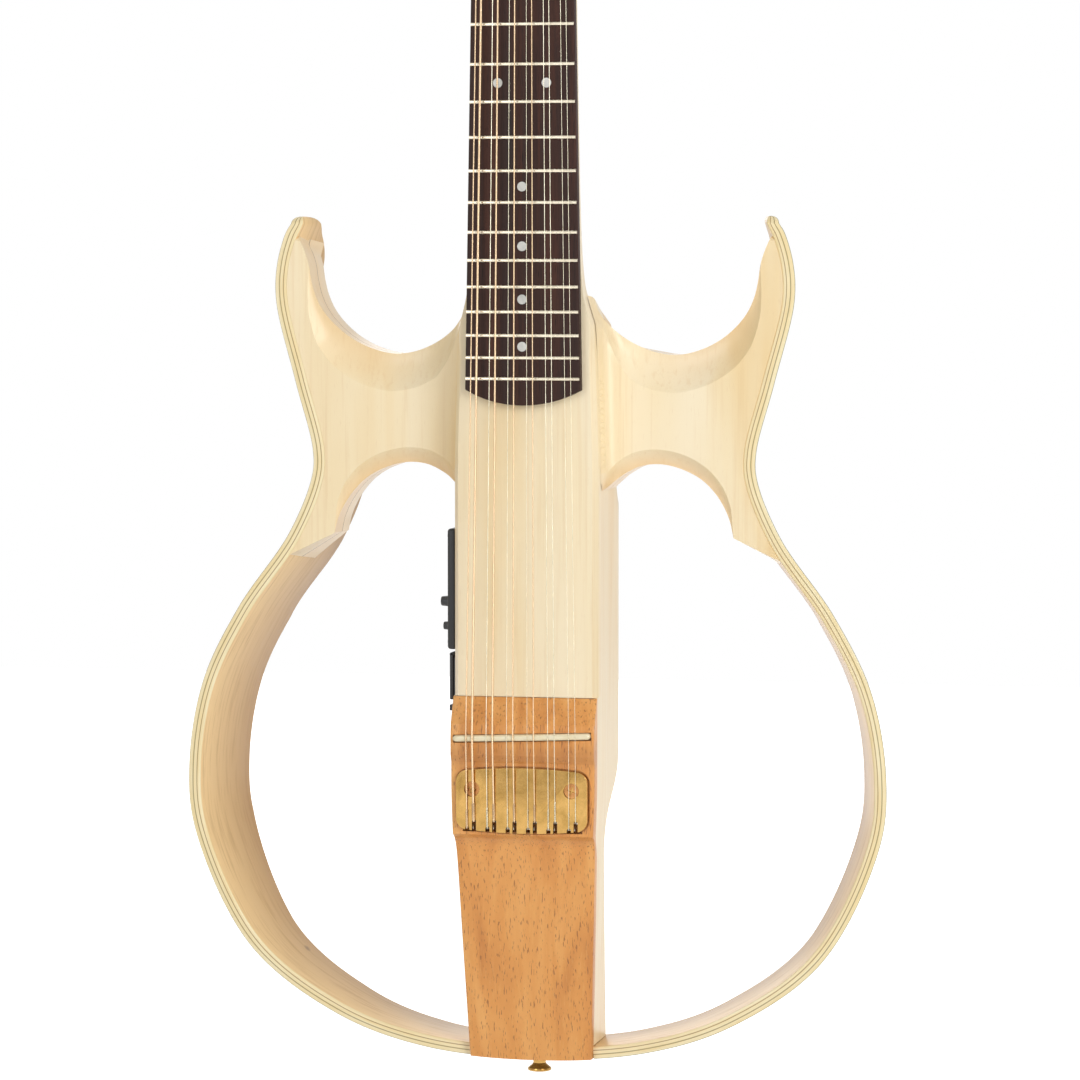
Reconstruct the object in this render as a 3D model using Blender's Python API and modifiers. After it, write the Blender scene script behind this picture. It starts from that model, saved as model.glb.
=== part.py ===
"""Twelve-string acoustic-electric guitar: a bent open rim around a solid centre beam.

Metres. +Z runs up towards the headstock, -Y is the playing side and +X the treble side. The
origin is on the centre line where the nut meets the fingerboard, in the plane between the neck
and the fingerboard. Body heights are written from the saddle line, which the scale length sets.
"""
from math import cos, pi, radians, sin, sqrt, tan

import bmesh
import bpy
import numpy as np
from mathutils import Matrix, Vector

# Clearances
GAP = 0.0003
TURN_GAP = 0.0005
HIDDEN_DEPTH = 0.001

# Scale and fingerboard
SCALE_LENGTH = 0.650
BRIDGE_SETBACK = 0.0046
FRET_COUNT = 22
NUT_WIDTH = 0.0455
BOARD_END_WIDTH = 0.0608
BOARD_THICKNESS = 0.0066
BOARD_RADIUS = 0.400
BOARD_PAST_LAST_FRET = 0.0058
BOARD_END_BULGE = 0.0080
FRET_CROWN_WIDTH = 0.0024
FRET_CROWN_HEIGHT = 0.0011
FRET_SEAT = 0.0006
FRET_END_INSET = 0.0003
NUT_LENGTH = 0.005
NUT_HEIGHT = 0.0083

# Neck and centre beam, as (height over the saddle line, size) where they change
NECK_DEPTH_AT_NUT = 0.0145
NECK_STRAIGHT = 0.0120
TRUSS_CHANNEL_HALF = 0.0034
TRUSS_CHANNEL_DEPTH = 0.0086
TRUSS_ROD_RADIUS = 0.003
TRUSS_ROD_LENGTH = 0.425
BEAM_HALF = 0.0382
BEAM_TAIL_HALF = 0.0325
BEAM_EDGE_WIDTH = 0.0026
BEAM_EDGE_DEPTH = 0.0045
BEAM_BACK_ROUND = 0.003
BEAM_DEPTH = 0.0603
HEEL_DEPTH = 0.050
STEM_DEPTH = 0.0285

# Laminated rim
RIM_FRONT_Y = 0.018
RIM_THICKNESS = 0.0063
RIM_DEPTH = 0.052
RIM_DEPTH_AT_TAIL = 0.038
RIM_DEPTH_AT_HORN = 0.036
RIM_DRAFT = 0.25
RIM_EDGE_ROUND = 0.001
RIM_TAIL_Z = -0.1714
LOWER_BOUT_HALF = 0.1872
WAIST_HALF = 0.1186
UPPER_BOUT_HALF = 0.1383
RIM_STATIONS = 47

# Wings between the rim and the beam
WING_LAYER = 0.016
WING_GAP = 0.0004
WING_BACK_ROUND = 0.002
HORN_LEAST_WIDTH = 0.0012
STATION_MARGIN = 0.003
WING_TOP_Z = 0.2140
WING_LOW_Z = 0.1285
NUB_Z = 0.0965
HORN_FACET_Z = 0.2600
CUTAWAY_COVE_WIDTH = 0.0195
CUTAWAY_COVE_DEPTH = 0.008
HOLE_COVE_WIDTH = 0.0078
RIDGE_STEP = 0.0004
HOLE_COVE_DEPTH = 0.0045

# Bridge and tail block
BLOCK_TOP_Z = 0.0216
BLOCK_INLAY = 0.0015
BLOCK_RISE = 0.0075
BLOCK_RAMP_END_Z = 0.0005
BLOCK_STEP_Z = -0.0125
BLOCK_STEP = 0.0017
BLOCK_COVE_TOP_Z = -0.0502
BLOCK_COVE_END_Z = -0.0625
BLOCK_COVE_Y = 0.0016
BLOCK_TAIL_Y = 0.0138
BLOCK_TAIL_THICKNESS = 0.0061
BLOCK_EDGE = 0.0010
SADDLE_HALF_LENGTH = 0.0364
SADDLE_THICKNESS = 0.0032
SADDLE_SLANT = radians(2.0)
SADDLE_CENTRE_Z = 0.0012
SADDLE_TOP_Y = -0.0116
SLOT_FLOOR_Y = -0.0025
PICKUP_STRIP = 0.001
PICKUP_LEAD_RADIUS = 0.0009
PICKUP_LEAD_X = 0.025

# Tailpiece plate
PLATE_HALF_WIDTH = 0.0350
PLATE_HALF_HEIGHT = 0.0172
PLATE_END_HALF_HEIGHT = 0.0157
PLATE_CORNER = 0.0062
PLATE_THICKNESS = 0.0025
PLATE_CENTRE_Z = -0.0319
PLATE_SCREW_X = 0.0264
PLATE_SCREW_Z = -0.0262
PLATE_SCREW_HEAD = 0.0038
PLATE_SINK_DEPTH = 0.0016
PLATE_SCREW_SHANK = 0.0015
PLATE_SCREW_TIP_Y = 0.0085
STRING_SLOT_WIDTH = 0.0022
BALL_RADIUS = 0.0017
BALL_LENGTH = 0.005
BALL_Y = -0.0033
BALL_ROWS_Z = (-0.0467, -0.0430)
BALL_POCKET_HALF = 0.0318
BALL_POCKET_FLOOR_Y = -0.0011

# Strings, bass to treble: octave or twin first, then the main string of each course
STRING_DIAMETERS = (0.00069, 0.00119, 0.00046, 0.00099, 0.00030, 0.00076,
                    0.00025, 0.00058, 0.00036, 0.00036, 0.00025, 0.00025)
WOUND_STRINGS = (0, 1, 3, 5, 7)
COURSE_COUNT = 6
NUT_COURSE_SPACING = 0.00742
NUT_PAIR_SPACING = 0.00245
SADDLE_COURSE_SPACING = 0.0109
SADDLE_PAIR_SPACING = 0.0034
PLATE_COURSE_SPACING = 0.0108
PLATE_PAIR_SPACING = 0.0036

# Headstock and tuning machines, in the headstock's own tilted frame
HEAD_TILT = radians(13)
HEAD_LENGTH = 0.205
HEAD_THICKNESS = 0.0143
HEAD_SHOULDER_HALF = 0.0355
HEAD_TOP_HALF = 0.0385
TUNERS_PER_SIDE = 6
TUNER_FIRST = 0.043
TUNER_PITCH = 0.0262
POST_X = 0.027
POST_RADIUS = 0.003
POST_WAIST_RADIUS = 0.0023
POST_TIP_Y = -0.0132
POST_WAIST_Y = -0.0080
POST_BORE = 0.0036
GEAR_RADIUS = 0.0045
GEAR_THICKNESS = 0.003
WORM_RADIUS = 0.0017
WORM_OFFSET = 0.0066
SHAFT_RADIUS = 0.0015
STRIP_THICKNESS = 0.0012
STRIP_IN = 0.0195
STRIP_OUT = 0.0345
STRIP_PAST = 0.0105
HOUSING_DEPTH = 0.0088
HOUSING_WALL = 0.0011
HOUSING_IN = 0.0072
HOUSING_OUT = 0.0098
HOUSING_LOW = 0.0062
HOUSING_HIGH = 0.0105
BUTTON_START = 0.0168
BUTTON_LENGTH = 0.0165
BUTTON_HALF_WIDTH = 0.0088
BUTTON_HALF_THICKNESS = 0.0038
TRUSS_POCKET_HALF = 0.0046
TRUSS_POCKET_LENGTH = 0.026
COVER_SCREW_SHANK = 0.0011
COVER_SCREW_LENGTH = 0.0085

# Electronics chamber, panel and battery on the bass side of the beam
CHAMBER_TOP_Z = 0.1130
CHAMBER_LOW_Z = -0.0070
CHAMBER_HALF = 0.0300
CHAMBER_FRONT_Y = 0.0100
COVER_LEDGE = 0.0040
COVER_THICKNESS = 0.0024
COVER_SCREW_INSET = 0.0020
PANEL_TOP_Z = 0.1082
PANEL_LOW_Z = 0.0450
PANEL_FRONT_Y = 0.0080
PANEL_BACK_Y = 0.0460
PANEL_THICKNESS = 0.0048
PANEL_EDGE = 0.0016
PANEL_WINDOW_INSET = 0.0050
PREAMP_CASE_END_X = -0.0280
KNOB_SHAFT_LENGTH = 0.0090
SHAFT_HOLE_DEPTH = 0.0115
VOLUME_KNOB_Z = 0.0696
VOLUME_KNOB_RADIUS = 0.0029
VOLUME_KNOB_LENGTH = 0.0051
TONE_KNOB_Z = 0.0567
TONE_KNOB_RADIUS = 0.00235
TONE_KNOB_LENGTH = 0.0038
KNOB_Y = 0.0180
KNOB_SHAFT_RADIUS = 0.0013
BATTERY_WIDTH = 0.0265
BATTERY_HEIGHT = 0.0175
BATTERY_LENGTH = 0.0485
BATTERY_Z = 0.0310
BATTERY_Y = 0.0265
BATTERY_BOX_WALL = 0.0013
BOX_FLANGE = 0.0013
DOOR_TOP_Z = 0.0434
DOOR_LOW_Z = 0.0186
DOOR_FRONT_Y = 0.0085
DOOR_BACK_Y = 0.0445
DOOR_THICKNESS = 0.0020
DOOR_HINGE_RADIUS = 0.0011
CATCH_Z = 0.0144
CATCH_HEIGHT = 0.0031
CATCH_WIDTH = 0.0120
JACK_Z = 0.0032
JACK_Y = 0.0300
JACK_BORE = 0.0033
JACK_BODY_RADIUS = 0.0045
JACK_FLANGE_RADIUS = 0.0070
JACK_FLANGE = 0.0018
JACK_LENGTH = 0.0230

# Strap buttons
STRAP_FLANGE_RADIUS = 0.0064
STRAP_NECK_RADIUS = 0.0034
STRAP_HEIGHT = 0.0085
STRAP_SHANK_RADIUS = 0.0020
STRAP_SHANK_LENGTH = 0.0200
TAIL_BUTTON_Y = 0.0365

SADDLE_Z = -(SCALE_LENGTH + BRIDGE_SETBACK)

COLORS = {
    "maple": ((0.90, 0.77, 0.55), 0.42, 0.0),
    "maple_ply": ((0.87, 0.73, 0.50), 0.45, 0.0),
    "beech": ((0.72, 0.45, 0.20), 0.45, 0.0),
    "rosewood": ((0.075, 0.033, 0.020), 0.5, 0.0),
    "bone": ((0.90, 0.86, 0.72), 0.35, 0.0),
    "gold": ((0.86, 0.63, 0.26), 0.25, 1.0),
    "steel": ((0.62, 0.62, 0.62), 0.3, 1.0),
    "plain_steel": ((0.80, 0.80, 0.80), 0.2, 1.0),
    "bronze": ((0.72, 0.45, 0.26), 0.3, 1.0),
    "brass": ((0.70, 0.53, 0.25), 0.35, 1.0),
    "black_plastic": ((0.02, 0.02, 0.02), 0.4, 0.0),
    "battery": ((0.12, 0.12, 0.13), 0.4, 0.0),
}


# Scene helpers

def clear_scene():
    for obj in list(bpy.data.objects):
        bpy.data.objects.remove(obj, do_unlink=True)


def new_collection(name):
    collection = bpy.data.collections.new(name)
    bpy.context.scene.collection.children.link(collection)
    return collection


def make_materials():
    made = {}
    for name, (color, roughness, metallic) in COLORS.items():
        material = bpy.data.materials.new(name)
        material.use_nodes = True
        shader = material.node_tree.nodes["Principled BSDF"]
        shader.inputs["Base Color"].default_value = (*color, 1.0)
        shader.inputs["Roughness"].default_value = roughness
        shader.inputs["Metallic"].default_value = metallic
        made[name] = material
    return made


def add_object(name, mesh, material, parent=None):
    obj = bpy.data.objects.new(name, mesh)
    parts.objects.link(obj)
    obj.parent = parent
    if material:
        mesh.materials.append(materials[material])
    return obj


def finish_mesh(name, bm, smooth_angle=35):
    bmesh.ops.recalc_face_normals(bm, faces=bm.faces)
    mesh = bpy.data.meshes.new(name)
    bm.to_mesh(mesh)
    bm.free()
    mesh.shade_smooth()
    mesh.set_sharp_from_angle(angle=radians(smooth_angle))
    return mesh


def solid(name, bm, material, parent=None):
    return add_object(name, finish_mesh(name, bm), material, parent)


def cut(obj, name, bm, parent=None):
    """Take a cutter's shape away from an object, with the cutter kept as a hidden guide."""
    tool = bpy.data.objects.new(name, finish_mesh(name, bm))
    cutters.objects.link(tool)
    tool.parent = parent
    tool.hide_render = True
    tool.display_type = "WIRE"
    modifier = obj.modifiers.new(name, "BOOLEAN")
    modifier.operation = "DIFFERENCE"
    modifier.object = tool


def join(obj, name, bm, parent=None):
    """Join a second shape onto an object as one solid."""
    tool = bpy.data.objects.new(name, finish_mesh(name, bm))
    cutters.objects.link(tool)
    tool.parent = parent
    tool.hide_render = True
    tool.display_type = "WIRE"
    modifier = obj.modifiers.new(name, "BOOLEAN")
    modifier.operation = "UNION"
    modifier.object = tool


# Shape helpers

def box(bm, low, high):
    size = Vector(high) - Vector(low)
    centre = (Vector(high) + Vector(low)) / 2
    matrix = Matrix.Translation(centre) @ Matrix.Diagonal((*size, 1.0))
    bmesh.ops.create_cube(bm, size=1.0, matrix=matrix)


def rod(bm, start, end, radius, segments=12):
    """A cylinder from start to end."""
    start, end = Vector(start), Vector(end)
    axis = end - start
    turn = axis.to_track_quat("Z", "Y").to_matrix().to_4x4()
    matrix = Matrix.Translation((start + end) / 2) @ turn
    bmesh.ops.create_cone(bm, cap_ends=True, segments=segments, radius1=radius, radius2=radius,
                          depth=axis.length, matrix=matrix)


def loft(bm, rings):
    """Skin a row of rings that have the same number of points, and cap both ends."""
    rows = [[bm.verts.new(point) for point in ring] for ring in rings]
    count = len(rows[0])
    for row, following in zip(rows, rows[1:]):
        for i in range(count):
            j = (i + 1) % count
            bm.faces.new((row[i], row[j], following[j], following[i]))
    bm.faces.new(rows[0])
    bm.faces.new(rows[-1])


def turned(name, profile, material, steps, axis_matrix, parent=None, mesh=None):
    """A turned solid: (radius, height) points down its outer side, spun about its own Z."""
    if mesh is None:
        mesh = bpy.data.meshes.new(name)
        points = [(radius, 0.0, height) for radius, height in profile]
        edges = [(i, i + 1) for i in range(len(points) - 1)]
        mesh.from_pydata(points, edges, [])
        mesh.materials.append(materials[material])
    obj = add_object(name, mesh, None, parent)
    obj.matrix_local = axis_matrix
    spin = obj.modifiers.new("spin", "SCREW")
    spin.steps = steps
    spin.render_steps = steps
    spin.use_merge_vertices = True
    spin.merge_threshold = 0.00001
    return obj


def axis_frame(origin, direction):
    """A frame whose own Z runs along direction."""
    turn = Vector(direction).to_track_quat("Z", "Y").to_matrix().to_4x4()
    return Matrix.Translation(origin) @ turn


def wire_mesh(name, points, radius):
    """A round wire through the given points, as a closed mesh."""
    curve = bpy.data.curves.new(name, "CURVE")
    curve.dimensions = "3D"
    curve.bevel_depth = radius
    curve.bevel_resolution = 1
    curve.use_fill_caps = True
    spline = curve.splines.new("POLY")
    spline.points.add(len(points) - 1)
    for spot, point in zip(spline.points, points):
        spot.co = (*point, 1.0)
    guide = bpy.data.objects.new(name, curve)
    cutters.objects.link(guide)
    depsgraph = bpy.context.evaluated_depsgraph_get()
    raw = bpy.data.meshes.new_from_object(guide.evaluated_get(depsgraph))
    bpy.data.objects.remove(guide, do_unlink=True)
    bm = bmesh.new()
    bm.from_mesh(raw)
    bmesh.ops.remove_doubles(bm, verts=bm.verts, dist=0.00001)
    bpy.data.meshes.remove(raw)
    return bm


def smooth_row(points, count, mirrored_start=False):
    """Evenly spaced points on a smooth curve through the given ones."""
    given = [np.array(p, float) for p in points]
    before = given[1] * np.array((-1.0, 1.0)) if mirrored_start else 2 * given[0] - given[1]
    after = 2 * given[-1] - given[-2]
    row = [before, *given, after]
    fine = []
    for p0, p1, p2, p3 in zip(row, row[1:], row[2:], row[3:]):
        knots = [0.0]
        for a, b in ((p0, p1), (p1, p2), (p2, p3)):
            knots.append(knots[-1] + sqrt(np.linalg.norm(b - a)))
        t0, t1, t2, t3 = knots
        for t in np.linspace(t1, t2, 16, endpoint=False):
            a1 = (t1 - t) / (t1 - t0) * p0 + (t - t0) / (t1 - t0) * p1
            a2 = (t2 - t) / (t2 - t1) * p1 + (t - t1) / (t2 - t1) * p2
            a3 = (t3 - t) / (t3 - t2) * p2 + (t - t2) / (t3 - t2) * p3
            b1 = (t2 - t) / (t2 - t0) * a1 + (t - t0) / (t2 - t0) * a2
            b2 = (t3 - t) / (t3 - t1) * a2 + (t - t1) / (t3 - t1) * a3
            fine.append((t2 - t) / (t2 - t1) * b1 + (t - t1) / (t2 - t1) * b2)
    fine.append(given[-1])
    fine = np.array(fine)
    lengths = np.r_[0.0, np.cumsum(np.linalg.norm(np.diff(fine, axis=0), axis=1))]
    wanted = np.linspace(0.0, lengths[-1], count)
    return np.column_stack([np.interp(wanted, lengths, fine[:, k]) for k in range(2)])


def between(value, table):
    """Read a size at a height from (height, size) pairs in falling order."""
    heights = [height for height, _ in table][::-1]
    sizes = [size for _, size in table][::-1]
    return float(np.interp(value, heights, sizes))


# Shared geometry

def fret_z(number):
    return -SCALE_LENGTH * (1 - 2 ** (-number / 12))


def board_half(z):
    """Half the fingerboard's width at a height, from the nut to past the last fret."""
    growth = (BOARD_END_WIDTH - NUT_WIDTH) / 2
    return NUT_WIDTH / 2 + growth * z / fret_z(FRET_COUNT)


def sag(x):
    """How far the playing surface falls back from its middle line."""
    return x * x / (2 * BOARD_RADIUS)


BOARD_END_Z = fret_z(FRET_COUNT) - BOARD_PAST_LAST_FRET

BEAM_WIDTHS = (
    (0.2496, board_half(SADDLE_Z + 0.2496)), (0.2376, 0.0308), (0.2276, 0.0334),
    (0.2140, 0.0360), (0.1846, 0.0370), (0.1346, BEAM_HALF), (-0.0204, BEAM_HALF),
    (-0.0734, 0.0364), (RIM_TAIL_Z, BEAM_TAIL_HALF),
)

BEAM_BACKS = (
    (0.3096, 0.0168), (0.2850, 0.0190), (0.2620, 0.0260), (0.2430, 0.0360),
    (0.2260, 0.0440), (0.2095, 0.0486), (0.1950, HEEL_DEPTH), (0.1400, HEEL_DEPTH),
    (0.1240, 0.0570), (0.1190, BEAM_DEPTH), (-0.0135, BEAM_DEPTH), (-0.0200, 0.0580),
    (-0.0290, 0.0490), (-0.0380, 0.0375), (-0.0460, 0.0310), (-0.0560, STEM_DEPTH),
    (-0.0700, 0.0308), (-0.1630, 0.0535),
)

HEEL_EXTRA_HEIGHTS = [0.3400, 0.3300, 0.2740, 0.2560]
BOXY_FROM_Z = 0.300
BOXY_BY_Z = 0.222
TAIL_CLEARANCE = 0.0022

BEAM_FRONTS = (
    (BLOCK_TOP_Z, 0.0), (BLOCK_TOP_Z - 0.0001, BLOCK_INLAY), (BLOCK_COVE_TOP_Z, BLOCK_INLAY),
    (BLOCK_COVE_END_Z, BLOCK_COVE_Y + BLOCK_TAIL_THICKNESS),
    (RIM_TAIL_Z, BLOCK_TAIL_Y + BLOCK_TAIL_THICKNESS),
)


def beam_half(body_z):
    top = BEAM_WIDTHS[0][0]
    if body_z > top:
        return board_half(SADDLE_Z + body_z)
    return between(body_z, BEAM_WIDTHS)


def beam_back(body_z):
    top_z, top_depth = BEAM_BACKS[0]
    if body_z > top_z:
        share = (body_z - top_z) / (-SADDLE_Z - top_z)
        return top_depth + (NECK_DEPTH_AT_NUT - top_depth) * share
    return between(body_z, BEAM_BACKS)


RIM_OUTLINE = (
    (0.0, RIM_TAIL_Z), (0.060, RIM_TAIL_Z + 0.0050), (0.107, RIM_TAIL_Z + 0.0210),
    (0.154, -0.1154), (LOWER_BOUT_HALF - 0.0035, -0.0554), (LOWER_BOUT_HALF, -0.0204),
    (LOWER_BOUT_HALF - 0.0077, 0.0246), (0.1596, 0.0646), (0.1315, 0.1046),
    (WAIST_HALF + 0.0005, 0.1346), (WAIST_HALF, 0.1486), (0.1280, 0.1846),
    (UPPER_BOUT_HALF, 0.2266), (UPPER_BOUT_HALF - 0.0005, 0.2456), (0.1330, 0.2626),
    (0.1270, 0.2722),
)


def rim_stations():
    """The rim's outer front edge with its inward normals, lean and depth at each station."""
    row = smooth_row(RIM_OUTLINE, RIM_STATIONS, mirrored_start=True)
    along = np.gradient(row, axis=0)
    along[0] = (1.0, 0.0)
    along /= np.linalg.norm(along, axis=1)[:, None]
    inward = np.column_stack([-along[:, 1], along[:, 0]])
    tail_share = np.clip((-0.055 - row[:, 1]) / (-0.055 - RIM_TAIL_Z), 0, 1)
    horn_share = np.clip((row[:, 1] - 0.095) / (0.272 - 0.095), 0, 1)
    depth = RIM_DEPTH - (RIM_DEPTH - RIM_DEPTH_AT_TAIL) * tail_share
    depth -= (RIM_DEPTH - RIM_DEPTH_AT_HORN) * horn_share
    lean = RIM_DRAFT * depth * np.abs(inward[:, 0])
    return row, inward, lean, depth


def place(x, y, body_z):
    return Vector((x, y, SADDLE_Z + body_z))


# Body

def make_rim():
    row, inward, lean, depth = rim_stations()
    treble = []
    for spot, normal, shift, deep in list(zip(row, inward, lean, depth))[1:]:
        back = spot + normal * shift
        treble.append(((spot[0], spot[1], back[0], back[1]), deep))
    bass = [((-fx, fz, -bx, bz), deep) for (fx, fz, bx, bz), deep in treble[::-1]]
    bm = bmesh.new()
    rows = []
    for (front_x, front_z, back_x, back_z), deep in bass + treble:
        rows.append((bm.verts.new(place(front_x, RIM_FRONT_Y, front_z)),
                     bm.verts.new(place(back_x, RIM_FRONT_Y + deep, back_z))))
    for first, second in zip(rows, rows[1:]):
        bm.faces.new((first[0], second[0], second[1], first[1]))
    mesh = bpy.data.meshes.new("rim")
    bm.to_mesh(mesh)
    bm.free()
    mesh.shade_smooth()
    obj = add_object("rim", mesh, "maple_ply")
    wall = obj.modifiers.new("wall", "SOLIDIFY")
    wall.thickness = RIM_THICKNESS
    wall.offset = 1.0
    wall.use_even_offset = True
    edge = obj.modifiers.new("edge", "BEVEL")
    edge.width = RIM_EDGE_ROUND
    edge.segments = 1
    edge.limit_method = "ANGLE"
    edge.angle_limit = radians(50)
    edge.use_clamp_overlap = False
    notch = bmesh.new()
    half = BEAM_TAIL_HALF + 2 * GAP
    box(notch, place(-half, 0.0, RIM_TAIL_Z - 0.01),
        place(half, BLOCK_TAIL_Y + BLOCK_TAIL_THICKNESS + GAP, RIM_TAIL_Z + 0.03))
    cut(obj, "rim_notch", notch)
    hole = bmesh.new()
    rod(hole, place(0, TAIL_BUTTON_Y, RIM_TAIL_Z - 0.01), place(0, TAIL_BUTTON_Y, RIM_TAIL_Z + 0.02),
        STRAP_SHANK_RADIUS + GAP, 9)
    cut(obj, "rim_hole", hole)


CUTAWAY_EDGE = (
    (0.0395, 0.2125, 0.2), (0.0430, 0.2085, 0.45), (0.0520, 0.2040, 0.72), (0.0630, 0.2004, 0.93),
    (0.0755, 0.1990, 1.0), (0.0880, 0.2018, 0.95), (0.0985, 0.2070, 0.85), (0.1065, 0.2134, 0.68),
    (0.1128, 0.2208, 0.42), (0.1170, 0.2288, 0.22), (0.1195, 0.2375, 0.08), (0.1208, 0.2455, 0.0),
    (0.1225, 0.2520, 0.0), (0.1252, 0.2585, 0.0),
)
CUTAWAY_POINTS = 19

HOLE_EDGE = (
    (0.1066, 0.1045, 0.0), (0.1048, 0.1125, 0.15), (0.1020, 0.1190, 0.45), (0.0968, 0.1270, 0.72),
    (0.0890, 0.1345, 0.9), (0.0790, 0.1396, 1.0), (0.0680, 0.1422, 1.0), (0.0570, 0.1412, 1.0),
    (0.0470, 0.1362, 0.95), (0.0425, 0.1325, 0.88),
)
HOLE_POINTS = 15
LOW_CORNER_SHARE = 0.75


def edge_row(edge, count):
    """A wing edge as evenly spaced points, each with its share of the cove's depth."""
    row = smooth_row([point[:2] for point in edge], count)
    given = np.array(edge)
    lengths = np.r_[0.0, np.cumsum(np.linalg.norm(np.diff(given[:, :2], axis=0), axis=1))]
    shares = np.interp(np.linspace(0.0, lengths[-1], count), lengths, given[:, 2])
    return list(zip(row, shares))


def rim_at(heights):
    """The rim's upper run read at given heights: its front edge, inward normal and lean."""
    row, inward, lean, depth = rim_stations()
    rising = slice(int(np.argmax(row[:, 1] > NUB_Z)) - 2, None)
    known = row[rising, 1]
    found = []
    for height in heights:
        spot = np.array((np.interp(height, known, row[rising, 0]), height))
        normal = np.array([np.interp(height, known, inward[rising, k]) for k in range(2)])
        slope = np.interp(height, known, (lean / depth)[rising])
        found.append((spot, normal / np.linalg.norm(normal), slope))
    return found


def rim_fit_stations():
    """Rim stations that a wing is glued to, from the nub's end up to the horn's facet."""
    heights = rim_stations()[0][:, 1]
    low, high = NUB_Z + STATION_MARGIN, HORN_FACET_Z - STATION_MARGIN
    inside = sorted({height for height in heights if low < height < high})
    return rim_at([NUB_Z, *inside, HORN_FACET_Z])


def rim_inner_x(height, y):
    """Where the rim's leaning inner wall, with the glue gap, stands at a height and depth."""
    (spot, normal, slope), = rim_at([height])
    wall = RIM_THICKNESS * sqrt(1 + RIM_DRAFT ** 2) + WING_GAP
    return spot[0] - (wall + slope * (y - RIM_FRONT_Y)) / abs(normal[0])


def wing_outline():
    """The wing's full outline at the front as rows of (point, kind, share of the cove)."""
    rows = []
    for body_z in (WING_TOP_Z, 0.1846, 0.1570, WING_LOW_Z):
        share = LOW_CORNER_SHARE if body_z == WING_LOW_Z else 0.0
        rows.append((np.array((beam_half(body_z) + WING_GAP, body_z)), "beam", share))
    rows += [(point, "hole", share) for point, share in edge_row(HOLE_EDGE[::-1], HOLE_POINTS)]
    rows += [(spot, "rim", (normal, slope)) for spot, normal, slope in rim_fit_stations()]
    cutaway = edge_row(CUTAWAY_EDGE[::-1], CUTAWAY_POINTS)
    rows += [(point, "cutaway", share) for point, share in cutaway]
    return rows


def wing_ring(side, y, cove_share=0.0, back_inset=0.0):
    """One ring of a wing at depth y; cove_share 0 is the front ridge and 1 the full edge."""
    rows = wing_outline()
    flat = np.array([point for point, _, _ in rows])
    along = np.roll(flat, -1, axis=0) - np.roll(flat, 1, axis=0)
    along /= np.linalg.norm(along, axis=1)[:, None]
    inward = np.column_stack([-along[:, 1], along[:, 0]])
    ring = []
    for (point, kind, detail), normal in zip(rows, inward):
        own_y = y
        if kind == "rim":
            rim_normal, slope = detail
            wall = RIM_THICKNESS * sqrt(1 + RIM_DRAFT ** 2) + WING_GAP
            point = point + rim_normal * (wall + slope * (y - RIM_FRONT_Y))
            own_y = y + RIDGE_STEP * cove_share
        else:
            width, deep = CUTAWAY_COVE_WIDTH, CUTAWAY_COVE_DEPTH
            if kind == "hole" or detail == LOW_CORNER_SHARE:
                width, deep = HOLE_COVE_WIDTH, HOLE_COVE_DEPTH
            if kind == "beam":
                normal = np.array((0.0, 1.0))
            inset = width * detail * (1 - cove_share)
            if kind != "beam":
                inset += back_inset
            point = point + normal * inset
            if kind == "cutaway" and point[1] > WING_TOP_Z:
                limit = rim_inner_x(point[1], y) - HORN_LEAST_WIDTH
                point = np.array((min(point[0], limit), point[1]))
            fall = max(deep * detail, RIDGE_STEP)
            own_y = y + fall * sin(cove_share * pi / 2)
        ring.append(place(side * point[0], own_y, point[1]))
    return ring


def make_wing(side_name, side):
    front = bmesh.new()
    rings = [wing_ring(side, RIM_FRONT_Y, share) for share in (0.0, 0.3, 0.65, 1.0)]
    seam_y = RIM_FRONT_Y + WING_LAYER
    base = wing_ring(side, seam_y - GAP / 2, 1.0)
    rings.append([Vector((p.x, seam_y - GAP / 2, p.z)) for p in base])
    loft(front, rings)
    solid(f"wing_{side_name}_front", front, "maple")
    back = bmesh.new()
    back_y = RIM_FRONT_Y + 2 * WING_LAYER
    rings = []
    for y, inset in ((seam_y + GAP / 2, 0.0), (back_y - WING_BACK_ROUND, 0.0),
                     (back_y, WING_BACK_ROUND)):
        ring = wing_ring(side, y, 1.0, inset)
        rings.append([Vector((p.x, y, p.z)) for p in ring])
    loft(back, rings)
    solid(f"wing_{side_name}_back", back, "maple")


def neck_ring(body_z, half, front, back, boxy, edge_width, edge_depth):
    """A ring of neck or beam: boxy 0 is a D-shaped neck and 1 a square beam."""
    rounding = BEAM_BACK_ROUND
    square = [
        (0.0, front), (half - edge_width, front), (half, front + edge_depth),
        (half, (front + back) / 2), (half, back - rounding),
        (half - 0.3 * rounding, back - 0.3 * rounding), (half - rounding, back), (0.0, back),
    ]
    angles = [None, 0, 14, 32, 50, 62, 74, 90]
    arc = []
    for angle in angles:
        if angle is None:
            arc.append((0.0, front))
            continue
        turn = radians(angle)
        arc.append((half * abs(cos(turn)) ** 0.85, front + (back - front) * sin(turn) ** 0.85))
    right = []
    for (sx, sy), (ax, ay) in zip(square, arc):
        x, y = ax + (sx - ax) * boxy, ay + (sy - ay) * boxy
        right.append((x, y))
    points = right + [(-x, y) for x, y in right[-2:0:-1]]
    return [place(x, y, body_z) for x, y in points]


def neck_heights():
    fixed = [z for z, _ in BEAM_WIDTHS] + [z for z, _ in BEAM_BACKS] + [z for z, _ in BEAM_FRONTS]
    fixed += HEEL_EXTRA_HEIGHTS
    tail = RIM_TAIL_Z + RIM_THICKNESS + TAIL_CLEARANCE
    kept = sorted({round(z, 5) for z in fixed if z > tail + HIDDEN_DEPTH}, reverse=True)
    return kept, tail


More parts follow.
